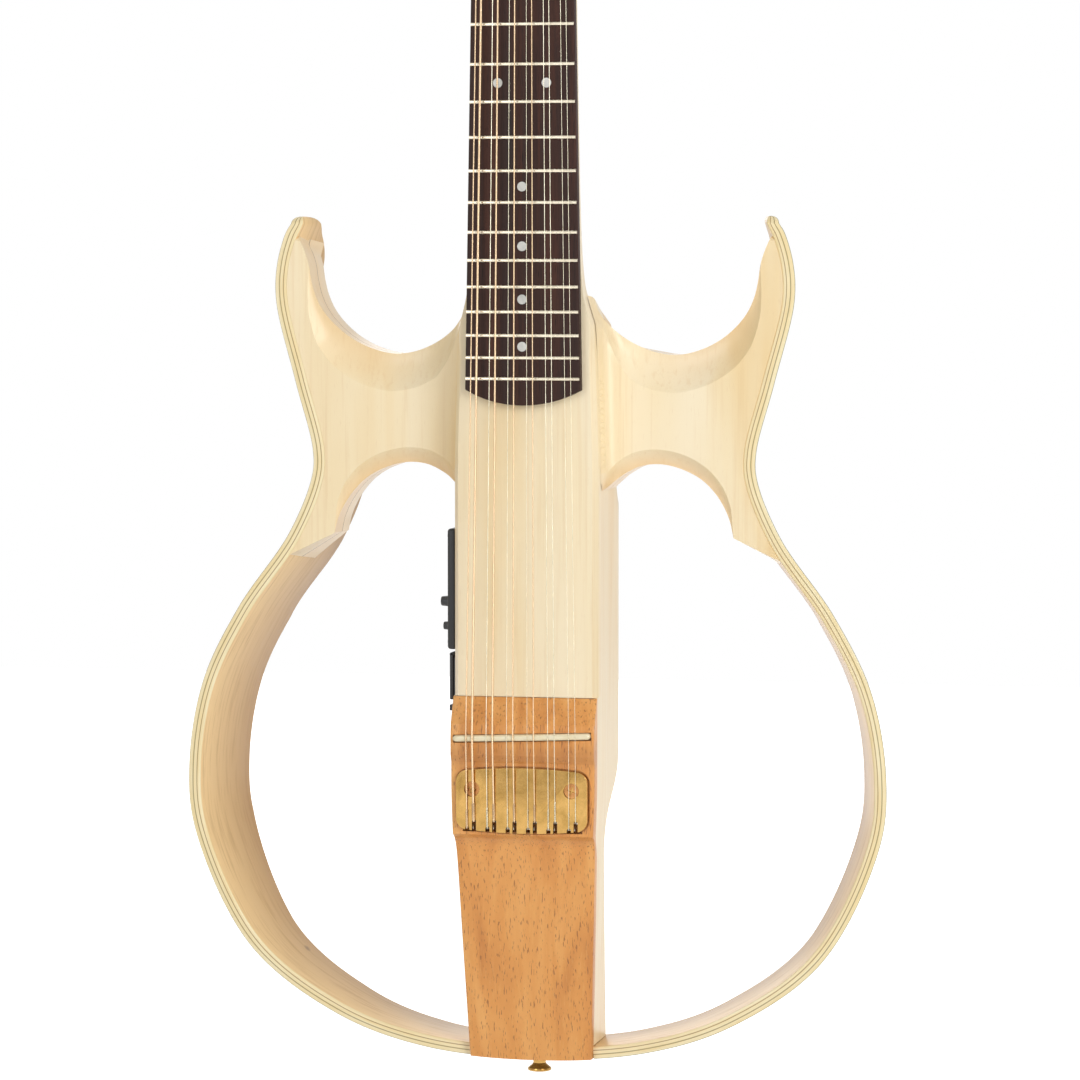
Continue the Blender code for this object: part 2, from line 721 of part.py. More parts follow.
def make_neck_beam():
    kept, tail = neck_heights()
    matrix = head_matrix()
    bm = bmesh.new()
    rings = [[matrix @ point for point in ring] for ring in head_rings()]
    for body_z in [-SADDLE_Z - NECK_STRAIGHT] + kept + [tail]:
        boxy = float(np.clip((BOXY_FROM_Z - body_z) / (BOXY_FROM_Z - BOXY_BY_Z), 0, 1)) ** 1.3
        front = 0.0 if body_z > BLOCK_TOP_Z else between(body_z, BEAM_FRONTS)
        bevel = (BEAM_EDGE_WIDTH, BEAM_EDGE_DEPTH) if body_z >= BLOCK_TOP_Z else (GAP, GAP)
        rings.append(neck_ring(body_z, beam_half(body_z), front, beam_back(body_z), boxy, *bevel))
    loft(bm, rings)
    obj = solid("neck_beam", bm, "maple")

    channel = bmesh.new()
    box(channel, (-TRUSS_CHANNEL_HALF, -HIDDEN_DEPTH, -TRUSS_ROD_LENGTH - 0.002),
        (TRUSS_CHANNEL_HALF, TRUSS_CHANNEL_DEPTH, 0.02))
    cut(obj, "truss_channel", channel)

    back = BEAM_DEPTH
    chamber = bmesh.new()
    box(chamber, place(-CHAMBER_HALF, CHAMBER_FRONT_Y, CHAMBER_LOW_Z),
        place(CHAMBER_HALF, back + HIDDEN_DEPTH, CHAMBER_TOP_Z))
    cut(obj, "chamber", chamber)
    rebate = bmesh.new()
    ledge = COVER_LEDGE
    box(rebate, place(-CHAMBER_HALF - ledge, back - COVER_THICKNESS - GAP, CHAMBER_LOW_Z - ledge),
        place(CHAMBER_HALF + ledge, back + HIDDEN_DEPTH, CHAMBER_TOP_Z + ledge))
    cut(obj, "cover_rebate", rebate)

    outside = -BEAM_HALF - 0.004
    inside = -CHAMBER_HALF + HIDDEN_DEPTH
    window = bmesh.new()
    inset = PANEL_WINDOW_INSET
    box(window, place(outside, PANEL_FRONT_Y + inset, PANEL_LOW_Z + inset),
        place(inside, PANEL_BACK_Y - inset, PANEL_TOP_Z - inset))
    half_y = BATTERY_WIDTH / 2 + BATTERY_BOX_WALL + 2 * GAP
    half_z = BATTERY_HEIGHT / 2 + BATTERY_BOX_WALL + 2 * GAP
    box(window, place(outside, BATTERY_Y - half_y, BATTERY_Z - half_z),
        place(inside, BATTERY_Y + half_y, BATTERY_Z + half_z))
    rod(window, place(outside, JACK_Y, JACK_Z), place(inside, JACK_Y, JACK_Z),
        JACK_BODY_RADIUS + GAP)
    cut(obj, "side_windows", window)

    holes = bmesh.new()
    for x, body_z in cover_screw_places():
        rod(holes, place(x, back - COVER_SCREW_LENGTH, body_z),
            place(x, back + HIDDEN_DEPTH, body_z), COVER_SCREW_SHANK + GAP, 8)
    for x in (-PLATE_SCREW_X, PLATE_SCREW_X):
        rod(holes, place(x, 0, PLATE_SCREW_Z), place(x, PLATE_SCREW_TIP_Y + GAP, PLATE_SCREW_Z),
            PLATE_SCREW_SHANK + GAP, 8)
    rod(holes, place(PICKUP_LEAD_X, 0, SADDLE_CENTRE_Z),
        place(PICKUP_LEAD_X, CHAMBER_FRONT_Y + HIDDEN_DEPTH, SADDLE_CENTRE_Z),
        PICKUP_LEAD_RADIUS + TURN_GAP, 8)
    rod(holes, place(0, TAIL_BUTTON_Y, RIM_TAIL_Z),
        place(0, TAIL_BUTTON_Y, RIM_TAIL_Z + STRAP_SHANK_LENGTH + GAP), STRAP_SHANK_RADIUS + GAP, 10)
    cut(obj, "screw_holes", holes)
    cut(obj, "post_bores", post_bores(), head)
    pocket = bmesh.new()
    box(pocket, (-TRUSS_POCKET_HALF, -0.005, NUT_LENGTH - 0.001),
        (TRUSS_POCKET_HALF, TRUSS_CHANNEL_DEPTH + 0.001, TRUSS_POCKET_LENGTH))
    cut(obj, "truss_pocket", pocket, head)


def cover_screw_places():
    x = CHAMBER_HALF + COVER_SCREW_INSET
    top = CHAMBER_TOP_Z + COVER_SCREW_INSET
    low = CHAMBER_LOW_Z - COVER_SCREW_INSET
    return [(-x, top), (x, top), (-x, low), (x, low)]


def make_back_cover():
    margin = COVER_LEDGE - GAP
    back = BEAM_DEPTH
    bm = bmesh.new()
    box(bm, place(-CHAMBER_HALF - margin, back - COVER_THICKNESS, CHAMBER_LOW_Z - margin),
        place(CHAMBER_HALF + margin, back, CHAMBER_TOP_Z + margin))
    obj = solid("back_cover", bm, "black_plastic")
    holes = bmesh.new()
    for x, body_z in cover_screw_places():
        rod(holes, place(x, back - 0.01, body_z), place(x, back + 0.01, body_z),
            COVER_SCREW_SHANK + GAP, 8)
    cut(obj, "back_cover_holes", holes)


# Bridge, saddle and tailpiece

BLOCK_FRONTS = (
    (BLOCK_TOP_Z - GAP, -0.0002), (BLOCK_RAMP_END_Z + 0.007, -BLOCK_RISE + 0.0006),
    (BLOCK_RAMP_END_Z, -BLOCK_RISE), (BLOCK_STEP_Z + 0.004, -BLOCK_RISE),
    (BLOCK_STEP_Z, -BLOCK_RISE + BLOCK_STEP), (BLOCK_COVE_TOP_Z, -BLOCK_RISE + BLOCK_STEP),
    (BLOCK_COVE_TOP_Z - 0.0022, -0.0026), (BLOCK_COVE_TOP_Z - 0.0055, -0.0002),
    (BLOCK_COVE_END_Z, BLOCK_COVE_Y), (-0.1100, BLOCK_COVE_Y + 0.0053),
    (RIM_TAIL_Z, BLOCK_TAIL_Y),
)


def tail_curve_z(x):
    """The rim's outer front edge near the tail, where the block ends flush with it."""
    row, _, _, _ = rim_stations()
    return float(np.interp(abs(x), row[:12, 0], row[:12, 1]))


def block_ring(body_z, at_tail=False):
    half = beam_half(body_z)
    front = between(body_z, BLOCK_FRONTS)
    back = between(body_z, BEAM_FRONTS) - GAP if body_z < BLOCK_TOP_Z - GAP else BLOCK_INLAY - GAP
    ramp = float(np.clip((BLOCK_TOP_Z - body_z) / (BLOCK_TOP_Z - BLOCK_RAMP_END_Z), 0, 1))
    edge = BEAM_EDGE_WIDTH + (BLOCK_EDGE - BEAM_EDGE_WIDTH) * ramp
    edge_depth = 0.0008 + (BLOCK_EDGE - 0.0008) * ramp
    inner = half - edge
    points = [(-inner, front), (-inner / 2, front), (0, front), (inner / 2, front), (inner, front),
              (half, front + edge_depth), (half, back), (half / 2, back), (0, back),
              (-half / 2, back), (-half, back), (-half, front + edge_depth)]
    if not at_tail:
        return [place(x, y, body_z) for x, y in points]
    return [place(x, y, tail_curve_z(x) + GAP) for x, y in points]


def make_bridge_block():
    bm = bmesh.new()
    heights = [z for z, _ in BLOCK_FRONTS[:-1]]
    heights = sorted(set(heights) | {-0.0204, -0.0734}, reverse=True)
    loft(bm, [block_ring(z) for z in heights] + [block_ring(RIM_TAIL_Z, at_tail=True)])
    bmesh.ops.triangulate(bm, faces=[face for face in bm.faces if len(face.verts) > 4])
    obj = solid("bridge_block", bm, "beech")

    slot = bmesh.new()
    half = SADDLE_HALF_LENGTH + GAP
    wide = SADDLE_THICKNESS / 2 + GAP
    box(slot, (-half, -0.02, -wide), (half, SLOT_FLOOR_Y, wide))
    bmesh.ops.transform(slot, matrix=saddle_matrix(), verts=slot.verts)
    cut(obj, "saddle_slot", slot)

    holes = bmesh.new()
    rod(holes, place(PICKUP_LEAD_X, SLOT_FLOOR_Y - HIDDEN_DEPTH, SADDLE_CENTRE_Z),
        place(PICKUP_LEAD_X, 0.01, SADDLE_CENTRE_Z), PICKUP_LEAD_RADIUS + TURN_GAP, 8)
    for x in (-PLATE_SCREW_X, PLATE_SCREW_X):
        rod(holes, place(x, -0.02, PLATE_SCREW_Z), place(x, 0.01, PLATE_SCREW_Z),
            PLATE_SCREW_SHANK + GAP, 8)
    pocket_low, pocket_top = BALL_ROWS_Z
    reach = BALL_RADIUS + GAP
    box(holes, place(-BALL_POCKET_HALF, -0.02, pocket_low - reach),
        place(BALL_POCKET_HALF, BALL_POCKET_FLOOR_Y, pocket_top + reach))
    cut(obj, "block_holes", holes)


def saddle_matrix():
    """The slanting saddle's own frame, with X along it and the saddle line's height at zero."""
    centre = Matrix.Translation(place(0, 0, SADDLE_CENTRE_Z))
    return centre @ Matrix.Rotation(-SADDLE_SLANT, 4, "Y")


def make_saddle():
    bm = bmesh.new()
    rings = []
    half_thick = SADDLE_THICKNESS / 2
    for share in (-1, -0.985, -0.955, -0.66, -0.33, 0, 0.33, 0.66, 0.955, 0.985, 1):
        x = SADDLE_HALF_LENGTH * share
        end = (SADDLE_HALF_LENGTH - abs(x)) / half_thick
        thick = half_thick * (sqrt(1 - (1 - min(end, 1)) ** 2) * 0.75 + 0.25)
        top = SADDLE_TOP_Y + sag(x)
        bottom = SLOT_FLOOR_Y - PICKUP_STRIP - 2 * GAP
        rings.append([(x, bottom, -thick), (x, bottom, thick), (x, top + 0.0009, thick),
                      (x, top, thick * 0.3), (x, top, -thick * 0.3), (x, top + 0.0009, -thick)])
    loft(bm, [[Vector(p) for p in ring] for ring in rings])
    bmesh.ops.transform(bm, matrix=saddle_matrix(), verts=bm.verts)
    solid("saddle", bm, "bone")

    strip = bmesh.new()
    half = SADDLE_HALF_LENGTH - 0.003
    box(strip, (-half, SLOT_FLOOR_Y - PICKUP_STRIP - GAP, -half_thick * 0.8),
        (half, SLOT_FLOOR_Y - GAP, half_thick * 0.8))
    bmesh.ops.transform(strip, matrix=saddle_matrix(), verts=strip.verts)
    obj = solid("saddle_pickup", strip, "brass")
    join(obj, "pickup_lead", wire_mesh("pickup_lead", pickup_lead_route(), PICKUP_LEAD_RADIUS))


def pickup_lead_route():
    """From the strip through the block and beam, in front of the battery, to the preamp."""
    return [place(PICKUP_LEAD_X, SLOT_FLOOR_Y - 0.0008, SADDLE_CENTRE_Z),
            place(PICKUP_LEAD_X, 0.0105, SADDLE_CENTRE_Z),
            place(PICKUP_LEAD_X - 0.0005, 0.0150, 0.0040),
            place(PICKUP_LEAD_X - 0.0020, 0.0180, 0.0120),
            place(0.0215, 0.0200, 0.0260), place(0.0200, 0.0210, 0.0420),
            place(0.0150, 0.0215, 0.0560), place(0.0040, 0.0220, 0.0640),
            place(-0.0100, 0.0222, 0.0680), place(-0.0195, 0.0222, 0.0690)]


def plate_outline():
    """The tailpiece plate seen from the front: a wide rectangle with arched long sides."""
    half, tall, end_tall, corner = (PLATE_HALF_WIDTH, PLATE_HALF_HEIGHT, PLATE_END_HALF_HEIGHT,
                                    PLATE_CORNER)
    quarter = []
    for share in (0.0, 0.3, 0.6):
        x = (half - corner) * share
        fall = (tall - end_tall) * (x / (half - corner)) ** 2
        quarter.append((x, tall - fall))
    for angle in (90, 67.5, 45, 22.5, 0):
        turn = radians(angle)
        quarter.append((half - corner + corner * cos(turn), end_tall - corner + corner * sin(turn)))
    right = quarter + [(x, -z) for x, z in quarter[::-1]]
    left = [(-x, z) for x, z in right[::-1] if x > 0]
    return right + left


def flat_plate(bm, outline, y_front, y_back, centre_z):
    loft(bm, [[place(x, y, centre_z + z) for x, z in outline] for y in (y_front, y_back)])


def string_x(index, course_spacing, pair_spacing):
    course, second = divmod(index, 2)
    middle = (course - (COURSE_COUNT - 1) / 2) * course_spacing
    return middle + (pair_spacing / 2 if second else -pair_spacing / 2)


def make_tailpiece():
    back_y = -BLOCK_RISE + BLOCK_STEP - GAP
    front_y = back_y - PLATE_THICKNESS
    bm = bmesh.new()
    flat_plate(bm, plate_outline(), front_y, back_y, PLATE_CENTRE_Z)
    obj = solid("tailpiece_plate", bm, "gold")
    slots = bmesh.new()
    for index in range(2 * COURSE_COUNT):
        x = string_x(index, PLATE_COURSE_SPACING, PLATE_PAIR_SPACING)
        top = BALL_ROWS_Z[index % 2] + 0.0011
        half = STRING_SLOT_WIDTH / 2
        box(slots, place(x - half, front_y - 0.01, PLATE_CENTRE_Z - PLATE_HALF_HEIGHT - 0.01),
            place(x + half, back_y + 0.01, top))
    cut(obj, "string_slots", slots)
    holes = bmesh.new()
    for x in (-PLATE_SCREW_X, PLATE_SCREW_X):
        rod(holes, place(x, -0.03, PLATE_SCREW_Z), place(x, 0.01, PLATE_SCREW_Z),
            PLATE_SCREW_SHANK + GAP, 12)
    cut(obj, "plate_holes", holes)
    sinks = bmesh.new()
    for x in (-PLATE_SCREW_X, PLATE_SCREW_X):
        rod(sinks, place(x, -0.03, PLATE_SCREW_Z),
            place(x, front_y + PLATE_SINK_DEPTH, PLATE_SCREW_Z), PLATE_SCREW_HEAD + GAP, 16)
    cut(obj, "plate_sinks", sinks)


def make_strings():
    """Each string in one piece with its ball end, from the tailpiece to its tuner post."""
    plate_front = -BLOCK_RISE + BLOCK_STEP - GAP - PLATE_THICKNESS
    for index, diameter in enumerate(STRING_DIAMETERS):
        radius = diameter / 2
        lift = radius + GAP / 2
        x_plate = string_x(index, PLATE_COURSE_SPACING, PLATE_PAIR_SPACING)
        x_saddle = string_x(index, SADDLE_COURSE_SPACING, SADDLE_PAIR_SPACING)
        x_nut = string_x(index, NUT_COURSE_SPACING, NUT_PAIR_SPACING)
        ball_z = BALL_ROWS_Z[index % 2]
        crown_z = SADDLE_CENTRE_Z + x_saddle * tan(SADDLE_SLANT)
        nut_y = -NUT_HEIGHT + sag(x_nut) - lift
        points = [place(x_plate, BALL_Y, ball_z), place(x_plate, plate_front - lift, ball_z),
                  place(x_saddle, SADDLE_TOP_Y + sag(x_saddle) - lift, crown_z),
                  Vector((x_nut, nut_y, 0.0)), Vector((x_nut, nut_y, NUT_LENGTH)),
                  post_contact(index, radius)]
        name = f"string_{index + 1:02d}"
        material = "bronze" if index in WOUND_STRINGS else "plain_steel"
        obj = solid(name, wire_mesh(name, points, radius), material)
        ball = bmesh.new()
        rod(ball, place(x_plate - BALL_LENGTH / 2, BALL_Y, ball_z),
            place(x_plate + BALL_LENGTH / 2, BALL_Y, ball_z), BALL_RADIUS, 8)
        join(obj, name + "_ball", ball)


# Fingerboard

def board_top(x):
    return -BOARD_THICKNESS + sag(x)


def board_end_z(share):
    """The fingerboard's rounded lower end, as an arc across its width."""
    half = BOARD_END_WIDTH / 2
    radius = (half ** 2 + BOARD_END_BULGE ** 2) / (2 * BOARD_END_BULGE)
    return BOARD_END_Z - (sqrt(radius ** 2 - (half * share) ** 2) - (radius - BOARD_END_BULGE))


def make_fingerboard():
    bm = bmesh.new()
    rings = []
    for share in (-1, -0.75, -0.5, -0.25, 0, 0.25, 0.5, 0.75, 1):
        end = board_end_z(share)
        x_top, x_end = share * board_half(0), share * board_half(end)
        rings.append([Vector((x_top, -GAP, 0)), Vector((x_top, board_top(x_top), 0)),
                      Vector((x_end, board_top(x_end), end)), Vector((x_end, -GAP, end))])
    loft(bm, rings)
    obj = solid("fingerboard", bm, "rosewood")

    join(obj, "frets", fret_bars())


def fret_bars():
    """The fret crowns, each a bar that is rounded over the board's own curve."""
    bm = bmesh.new()
    wide, high = FRET_CROWN_WIDTH / 2, FRET_CROWN_HEIGHT
    for number in range(1, FRET_COUNT + 1):
        z = fret_z(number)
        half = board_half(z) - FRET_END_INSET
        rings = []
        for share in (-1, -0.5, 0, 0.5, 1):
            x = half * share
            top = board_top(x)
            profile = ((-wide, top + FRET_SEAT), (-wide * 0.8, top - high * 0.6), (0, top - high),
                       (wide * 0.8, top - high * 0.6), (wide, top + FRET_SEAT))
            rings.append([Vector((x, y, z + dz)) for dz, y in profile])
        loft(bm, rings)
    return bm


def make_nut():
    bm = bmesh.new()
    half = NUT_WIDTH / 2
    rings = []
    for share in (-1, -0.6, -0.2, 0.2, 0.6, 1):
        x = half * share
        top = -NUT_HEIGHT + sag(x)
        rings.append([Vector((x, -GAP, GAP)), Vector((x, top, GAP)),
                      Vector((x, top + 0.0006, NUT_LENGTH - GAP)),
                      Vector((x, -GAP, NUT_LENGTH - GAP))])
    loft(bm, rings)
    solid("nut", bm, "bone")


def make_truss_rod():
    bm = bmesh.new()
    rod(bm, (0, TRUSS_CHANNEL_DEPTH / 2, -TRUSS_ROD_LENGTH), (0, TRUSS_CHANNEL_DEPTH / 2, 0.020),
        TRUSS_ROD_RADIUS, 10)
    solid("truss_rod", bm, "steel")


# Headstock, in its own frame: X across, Y into the wood, Z up the face

def head_frame():
    """An empty that carries what is made in the headstock's tilted frame."""
    frame = bpy.data.objects.new("headstock_frame", None)
    parts.objects.link(frame)
    frame.matrix_world = head_matrix()
    return frame


def head_matrix():
    return Matrix.Translation((0, 0, NUT_LENGTH)) @ Matrix.Rotation(-HEAD_TILT, 4, "X")


HEAD_WIDTHS = (
    (0.0, None), (0.010, 0.0235), (0.020, 0.0285), (0.029, 0.0335), (0.038, HEAD_SHOULDER_HALF),
    (HEAD_LENGTH - 0.020, HEAD_TOP_HALF), (HEAD_LENGTH - 0.008, HEAD_TOP_HALF - 0.0006),
    (HEAD_LENGTH - 0.002, HEAD_TOP_HALF - 0.0035), (HEAD_LENGTH, HEAD_TOP_HALF - 0.0085),
)


def head_ring(z, half, boxy, front=0.0, deep=HEAD_THICKNESS, edge=0.0015):
    """The neck's D section at the foot that turns into a flat board."""
    neck_deep = NECK_DEPTH_AT_NUT / cos(HEAD_TILT)
    square = [(0.0, front), (half - edge * boxy, front), (half, front + edge), (half, deep / 2),
              (half, deep - edge), (half - edge * 0.3, deep - edge * 0.3), (half - edge, deep),
              (0.0, deep)]
    arc = [(0.0, front)]
    for angle in (0, 14, 32, 50, 62, 74, 90):
        turn = radians(angle)
        arc.append((half * abs(cos(turn)) ** 0.85, neck_deep * sin(turn) ** 0.85))
    right = [(ax + (sx - ax) * boxy, ay + (sy - ay) * boxy)
             for (sx, sy), (ax, ay) in zip(square, arc)]
    return [Vector((x, y, z)) for x, y in right + [(-x, y) for x, y in right[-2:0:-1]]]


def head_rings():
    """Rings from the headstock's top down to its foot, where the neck's section takes over."""
    rings = []
    for i, (z, half) in enumerate(HEAD_WIDTHS):
        rings.append(head_ring(z, half or board_half(0), min(i / 3, 1.0)))
    return rings[::-1]


# Tuning machines

def tuner_places():
    """Each tuner's (side, post X, post height), the bass side first, from the nut upwards."""
    places = []
    for side in (-1, 1):
        for i in range(TUNERS_PER_SIDE):
            places.append((side, side * POST_X, TUNER_FIRST + TUNER_PITCH * i))
    return places


def post_bores():
    bm = bmesh.new()
    for _, x, z in tuner_places():
        rod(bm, (x, -0.02, z), (x, 0.03, z), POST_BORE, 10)
    return bm


def post_contact(index, radius):
    """Where a string meets its post, on the side that faces the middle."""
    half = COURSE_COUNT
    side = -1 if index < half else 1
    step = index if index < half else 2 * half - 1 - index
    x = side * (POST_X - POST_WAIST_RADIUS - radius - GAP)
    z = TUNER_FIRST + TUNER_PITCH * step
    return head_matrix() @ Vector((x, POST_WAIST_Y, z))


def make_tuners():
    back = HEAD_THICKNESS + GAP
    gear_start = back + 0.0016
    gear_end = gear_start + GEAR_THICKNESS
    profile = ((0.0, -POST_TIP_Y), (POST_RADIUS - 0.0003, -POST_TIP_Y),
               (POST_WAIST_RADIUS, -POST_WAIST_Y + 0.0018), (POST_WAIST_RADIUS, -POST_WAIST_Y - 0.0018),
               (POST_RADIUS, -POST_WAIST_Y - 0.0030), (POST_RADIUS, -gear_start),
               (GEAR_RADIUS, -gear_start), (GEAR_RADIUS, -gear_end), (0.0, -gear_end))
    post_mesh = None
    shaft_y = gear_start + GEAR_THICKNESS / 2
    for number, (side, x, z) in enumerate(tuner_places(), start=1):
        post = turned(f"tuner_post_{number:02d}", profile, "gold", 10,
                      axis_frame((x, 0, z), (0, -1, 0)), head, post_mesh)
        post_mesh = post.data
        make_button(number, side, x, shaft_y, z + WORM_OFFSET)
    for name, side in (("tuner_plate_bass", -1), ("tuner_plate_treble", 1)):
        make_tuner_plate(name, side, back, shaft_y)


def make_tuner_plate(name, side, back, shaft_y):
    """A strip along the headstock's back with six gear housings raised from it."""
    places = [(x, z) for own_side, x, z in tuner_places() if own_side == side]
    low, high = places[0][1] - STRIP_PAST, places[-1][1] + HOUSING_HIGH + HIDDEN_DEPTH
    strip = bmesh.new()
    span = sorted((side * STRIP_IN, side * STRIP_OUT))
    box(strip, (span[0], back, low), (span[1], back + STRIP_THICKNESS, high))
    obj = solid(name, strip, "gold", head)
    shells, hollows, bores = bmesh.new(), bmesh.new(), bmesh.new()
    for x, z in places:
        ends = sorted((x - side * HOUSING_IN, x + side * HOUSING_OUT))
        wall, bottom, top = HOUSING_WALL, z - HOUSING_LOW, z + HOUSING_HIGH
        box(shells, (ends[0], back + GAP, bottom), (ends[1], back + HOUSING_DEPTH, top))
        box(hollows, (ends[0] + wall, back - HIDDEN_DEPTH, bottom + wall),
            (ends[1] - wall, back + HOUSING_DEPTH - wall, top - wall))
        rod(bores, (x + side * (HOUSING_OUT - 3 * HOUSING_WALL), shaft_y, z + WORM_OFFSET),
            (x + side * (HOUSING_OUT + HOUSING_WALL), shaft_y, z + WORM_OFFSET),
            SHAFT_RADIUS + TURN_GAP, 8)
    join(obj, name + "_shells", shells, head)
    cut(obj, name + "_hollows", hollows, head)
    cut(obj, name + "_bores", bores, head)


def make_button(number, side, x, y, z):
    """A tuner button in one piece with its shaft and worm, lofted along X."""
    worm = [(-0.0048, WORM_RADIUS, WORM_RADIUS), (0.0048, WORM_RADIUS, WORM_RADIUS),
            (0.0052, SHAFT_RADIUS, SHAFT_RADIUS), (BUTTON_START - 0.001, SHAFT_RADIUS, SHAFT_RADIUS)]
    grip = [(0.0, 0.42, 0.9), (0.22, 0.86, 1.0), (0.6, 1.0, 0.9), (0.9, 0.72, 0.72), (1.0, 0.38, 0.4)]
    rings = []
    sizes = worm + [(BUTTON_START + BUTTON_LENGTH * along, BUTTON_HALF_WIDTH * wide,
                     BUTTON_HALF_THICKNESS * thick) for along, wide, thick in grip]
    for along, wide, thick in sizes:
        turns = [2 * pi * (k + 0.5) / 8 for k in range(8)]
        rings.append([Vector((side * along, thick * sin(t), wide * cos(t))) for t in turns])
    bm = bmesh.new()
    loft(bm, rings)
    obj = solid(f"tuner_button_{number:02d}", bm, "gold", head)
    obj.location = (x, y, z)


# Electronics

def make_preamp():
    """The control panel with the preamp's case behind it, and its two knobs."""
    bm = bmesh.new()
    face_x = -BEAM_HALF - GAP
    outer_x = face_x - PANEL_THICKNESS
    rings = []
    for x, inset in ((face_x, 0.0), (outer_x + PANEL_EDGE, 0.0), (outer_x, PANEL_EDGE)):
        low_y, high_y = PANEL_FRONT_Y + inset, PANEL_BACK_Y - inset
        low_z, high_z = PANEL_LOW_Z + inset, PANEL_TOP_Z - inset
        ring = ((low_y, low_z), (high_y, low_z), (high_y, high_z), (low_y, high_z))
        rings.append([place(x, y, z) for y, z in ring])
    loft(bm, rings)
    obj = solid("preamp", bm, "black_plastic")
    case = bmesh.new()
    inset = PANEL_WINDOW_INSET + GAP
    box(case, place(face_x - HIDDEN_DEPTH, PANEL_FRONT_Y + inset, PANEL_LOW_Z + inset),
        place(PREAMP_CASE_END_X, PANEL_BACK_Y - inset, PANEL_TOP_Z - inset))
    join(obj, "preamp_case", case)
    holes = bmesh.new()
    for body_z in (VOLUME_KNOB_Z, TONE_KNOB_Z):
        rod(holes, place(outer_x - 0.01, KNOB_Y, body_z),
            place(outer_x + SHAFT_HOLE_DEPTH, KNOB_Y, body_z), KNOB_SHAFT_RADIUS + TURN_GAP, 10)
    cut(obj, "knob_holes", holes)

    for name, body_z, radius, length in (
            ("volume_knob", VOLUME_KNOB_Z, VOLUME_KNOB_RADIUS, VOLUME_KNOB_LENGTH),
            ("tone_knob", TONE_KNOB_Z, TONE_KNOB_RADIUS, TONE_KNOB_LENGTH)):
        profile = ((0.0, length), (radius * 0.86, length), (radius, length * 0.82), (radius, 0.0),
                   (KNOB_SHAFT_RADIUS, 0.0), (KNOB_SHAFT_RADIUS, -KNOB_SHAFT_LENGTH),
                   (0.0, -KNOB_SHAFT_LENGTH))
        place_on = place(outer_x - GAP, KNOB_Y, body_z)
        turned(name, profile, "black_plastic", 16, axis_frame(place_on, (-1, 0, 0)))


def make_battery():
    face_x = -BEAM_HALF - GAP
    half_y, half_z = BATTERY_WIDTH / 2, BATTERY_HEIGHT / 2
    wall = BATTERY_BOX_WALL
    inner_end = face_x + BATTERY_LENGTH + 2 * GAP
    bm = bmesh.new()
    out_y, out_z = half_y + wall + GAP, half_z + wall + GAP
    box(bm, place(face_x - HIDDEN_DEPTH, BATTERY_Y - out_y, BATTERY_Z - out_z),
        place(inner_end + wall, BATTERY_Y + out_y, BATTERY_Z + out_z))
    obj = solid("battery_box", bm, "black_plastic")
    flange = bmesh.new()
    box(flange, place(face_x - BOX_FLANGE, DOOR_FRONT_Y, DOOR_LOW_Z),
        place(face_x, DOOR_BACK_Y, DOOR_TOP_Z - 2.6 * DOOR_HINGE_RADIUS))
    join(obj, "box_flange", flange)
    catch = bmesh.new()
    catch_low = CATCH_Z - CATCH_HEIGHT / 2
    box(catch, place(face_x - BOX_FLANGE - DOOR_THICKNESS - GAP, DOOR_FRONT_Y, catch_low),
        place(face_x - GAP / 3, DOOR_FRONT_Y + CATCH_WIDTH, CATCH_Z + CATCH_HEIGHT / 2))
    join(obj, "box_catch", catch)
    link = bmesh.new()
    box(link, place(face_x - BOX_FLANGE * 0.9, DOOR_FRONT_Y + HIDDEN_DEPTH, catch_low + GAP),
        place(face_x - GAP / 2, DOOR_FRONT_Y + CATCH_WIDTH - HIDDEN_DEPTH,
              DOOR_LOW_Z + 2 * HIDDEN_DEPTH))
    join(obj, "catch_link", link)
    hollow = bmesh.new()
    box(hollow, place(face_x - 0.01, BATTERY_Y - half_y - GAP, BATTERY_Z - half_z - GAP),
        place(inner_end, BATTERY_Y + half_y + GAP, BATTERY_Z + half_z + GAP))
    cut(obj, "battery_hollow", hollow)

    cell = bmesh.new()
    box(cell, place(face_x + GAP, BATTERY_Y - half_y, BATTERY_Z - half_z),
        place(face_x + GAP + BATTERY_LENGTH, BATTERY_Y + half_y, BATTERY_Z + half_z))
    solid("battery", cell, "battery")

    hinge_x, _, hinge_z = door_hinge()
    outer = face_x - BOX_FLANGE - GAP - DOOR_THICKNESS
    door = bmesh.new()
    box(door, place(outer, DOOR_FRONT_Y, DOOR_LOW_Z),
        place(face_x - BOX_FLANGE - GAP, DOOR_BACK_Y, DOOR_TOP_Z - DOOR_HINGE_RADIUS))
    lid = solid("battery_door", door, "black_plastic")
    barrel = bmesh.new()
    rod(barrel, (hinge_x, DOOR_FRONT_Y + 0.0005, hinge_z), (hinge_x, DOOR_BACK_Y - 0.0005, hinge_z),
        DOOR_HINGE_RADIUS, 10)
    join(lid, "door_barrel", barrel)


def door_hinge():
    face_x = -BEAM_HALF - GAP
    x = face_x - BOX_FLANGE - GAP - DOOR_THICKNESS / 2
    return x, (DOOR_FRONT_Y + DOOR_BACK_Y) / 2, SADDLE_Z + DOOR_TOP_Z - DOOR_HINGE_RADIUS


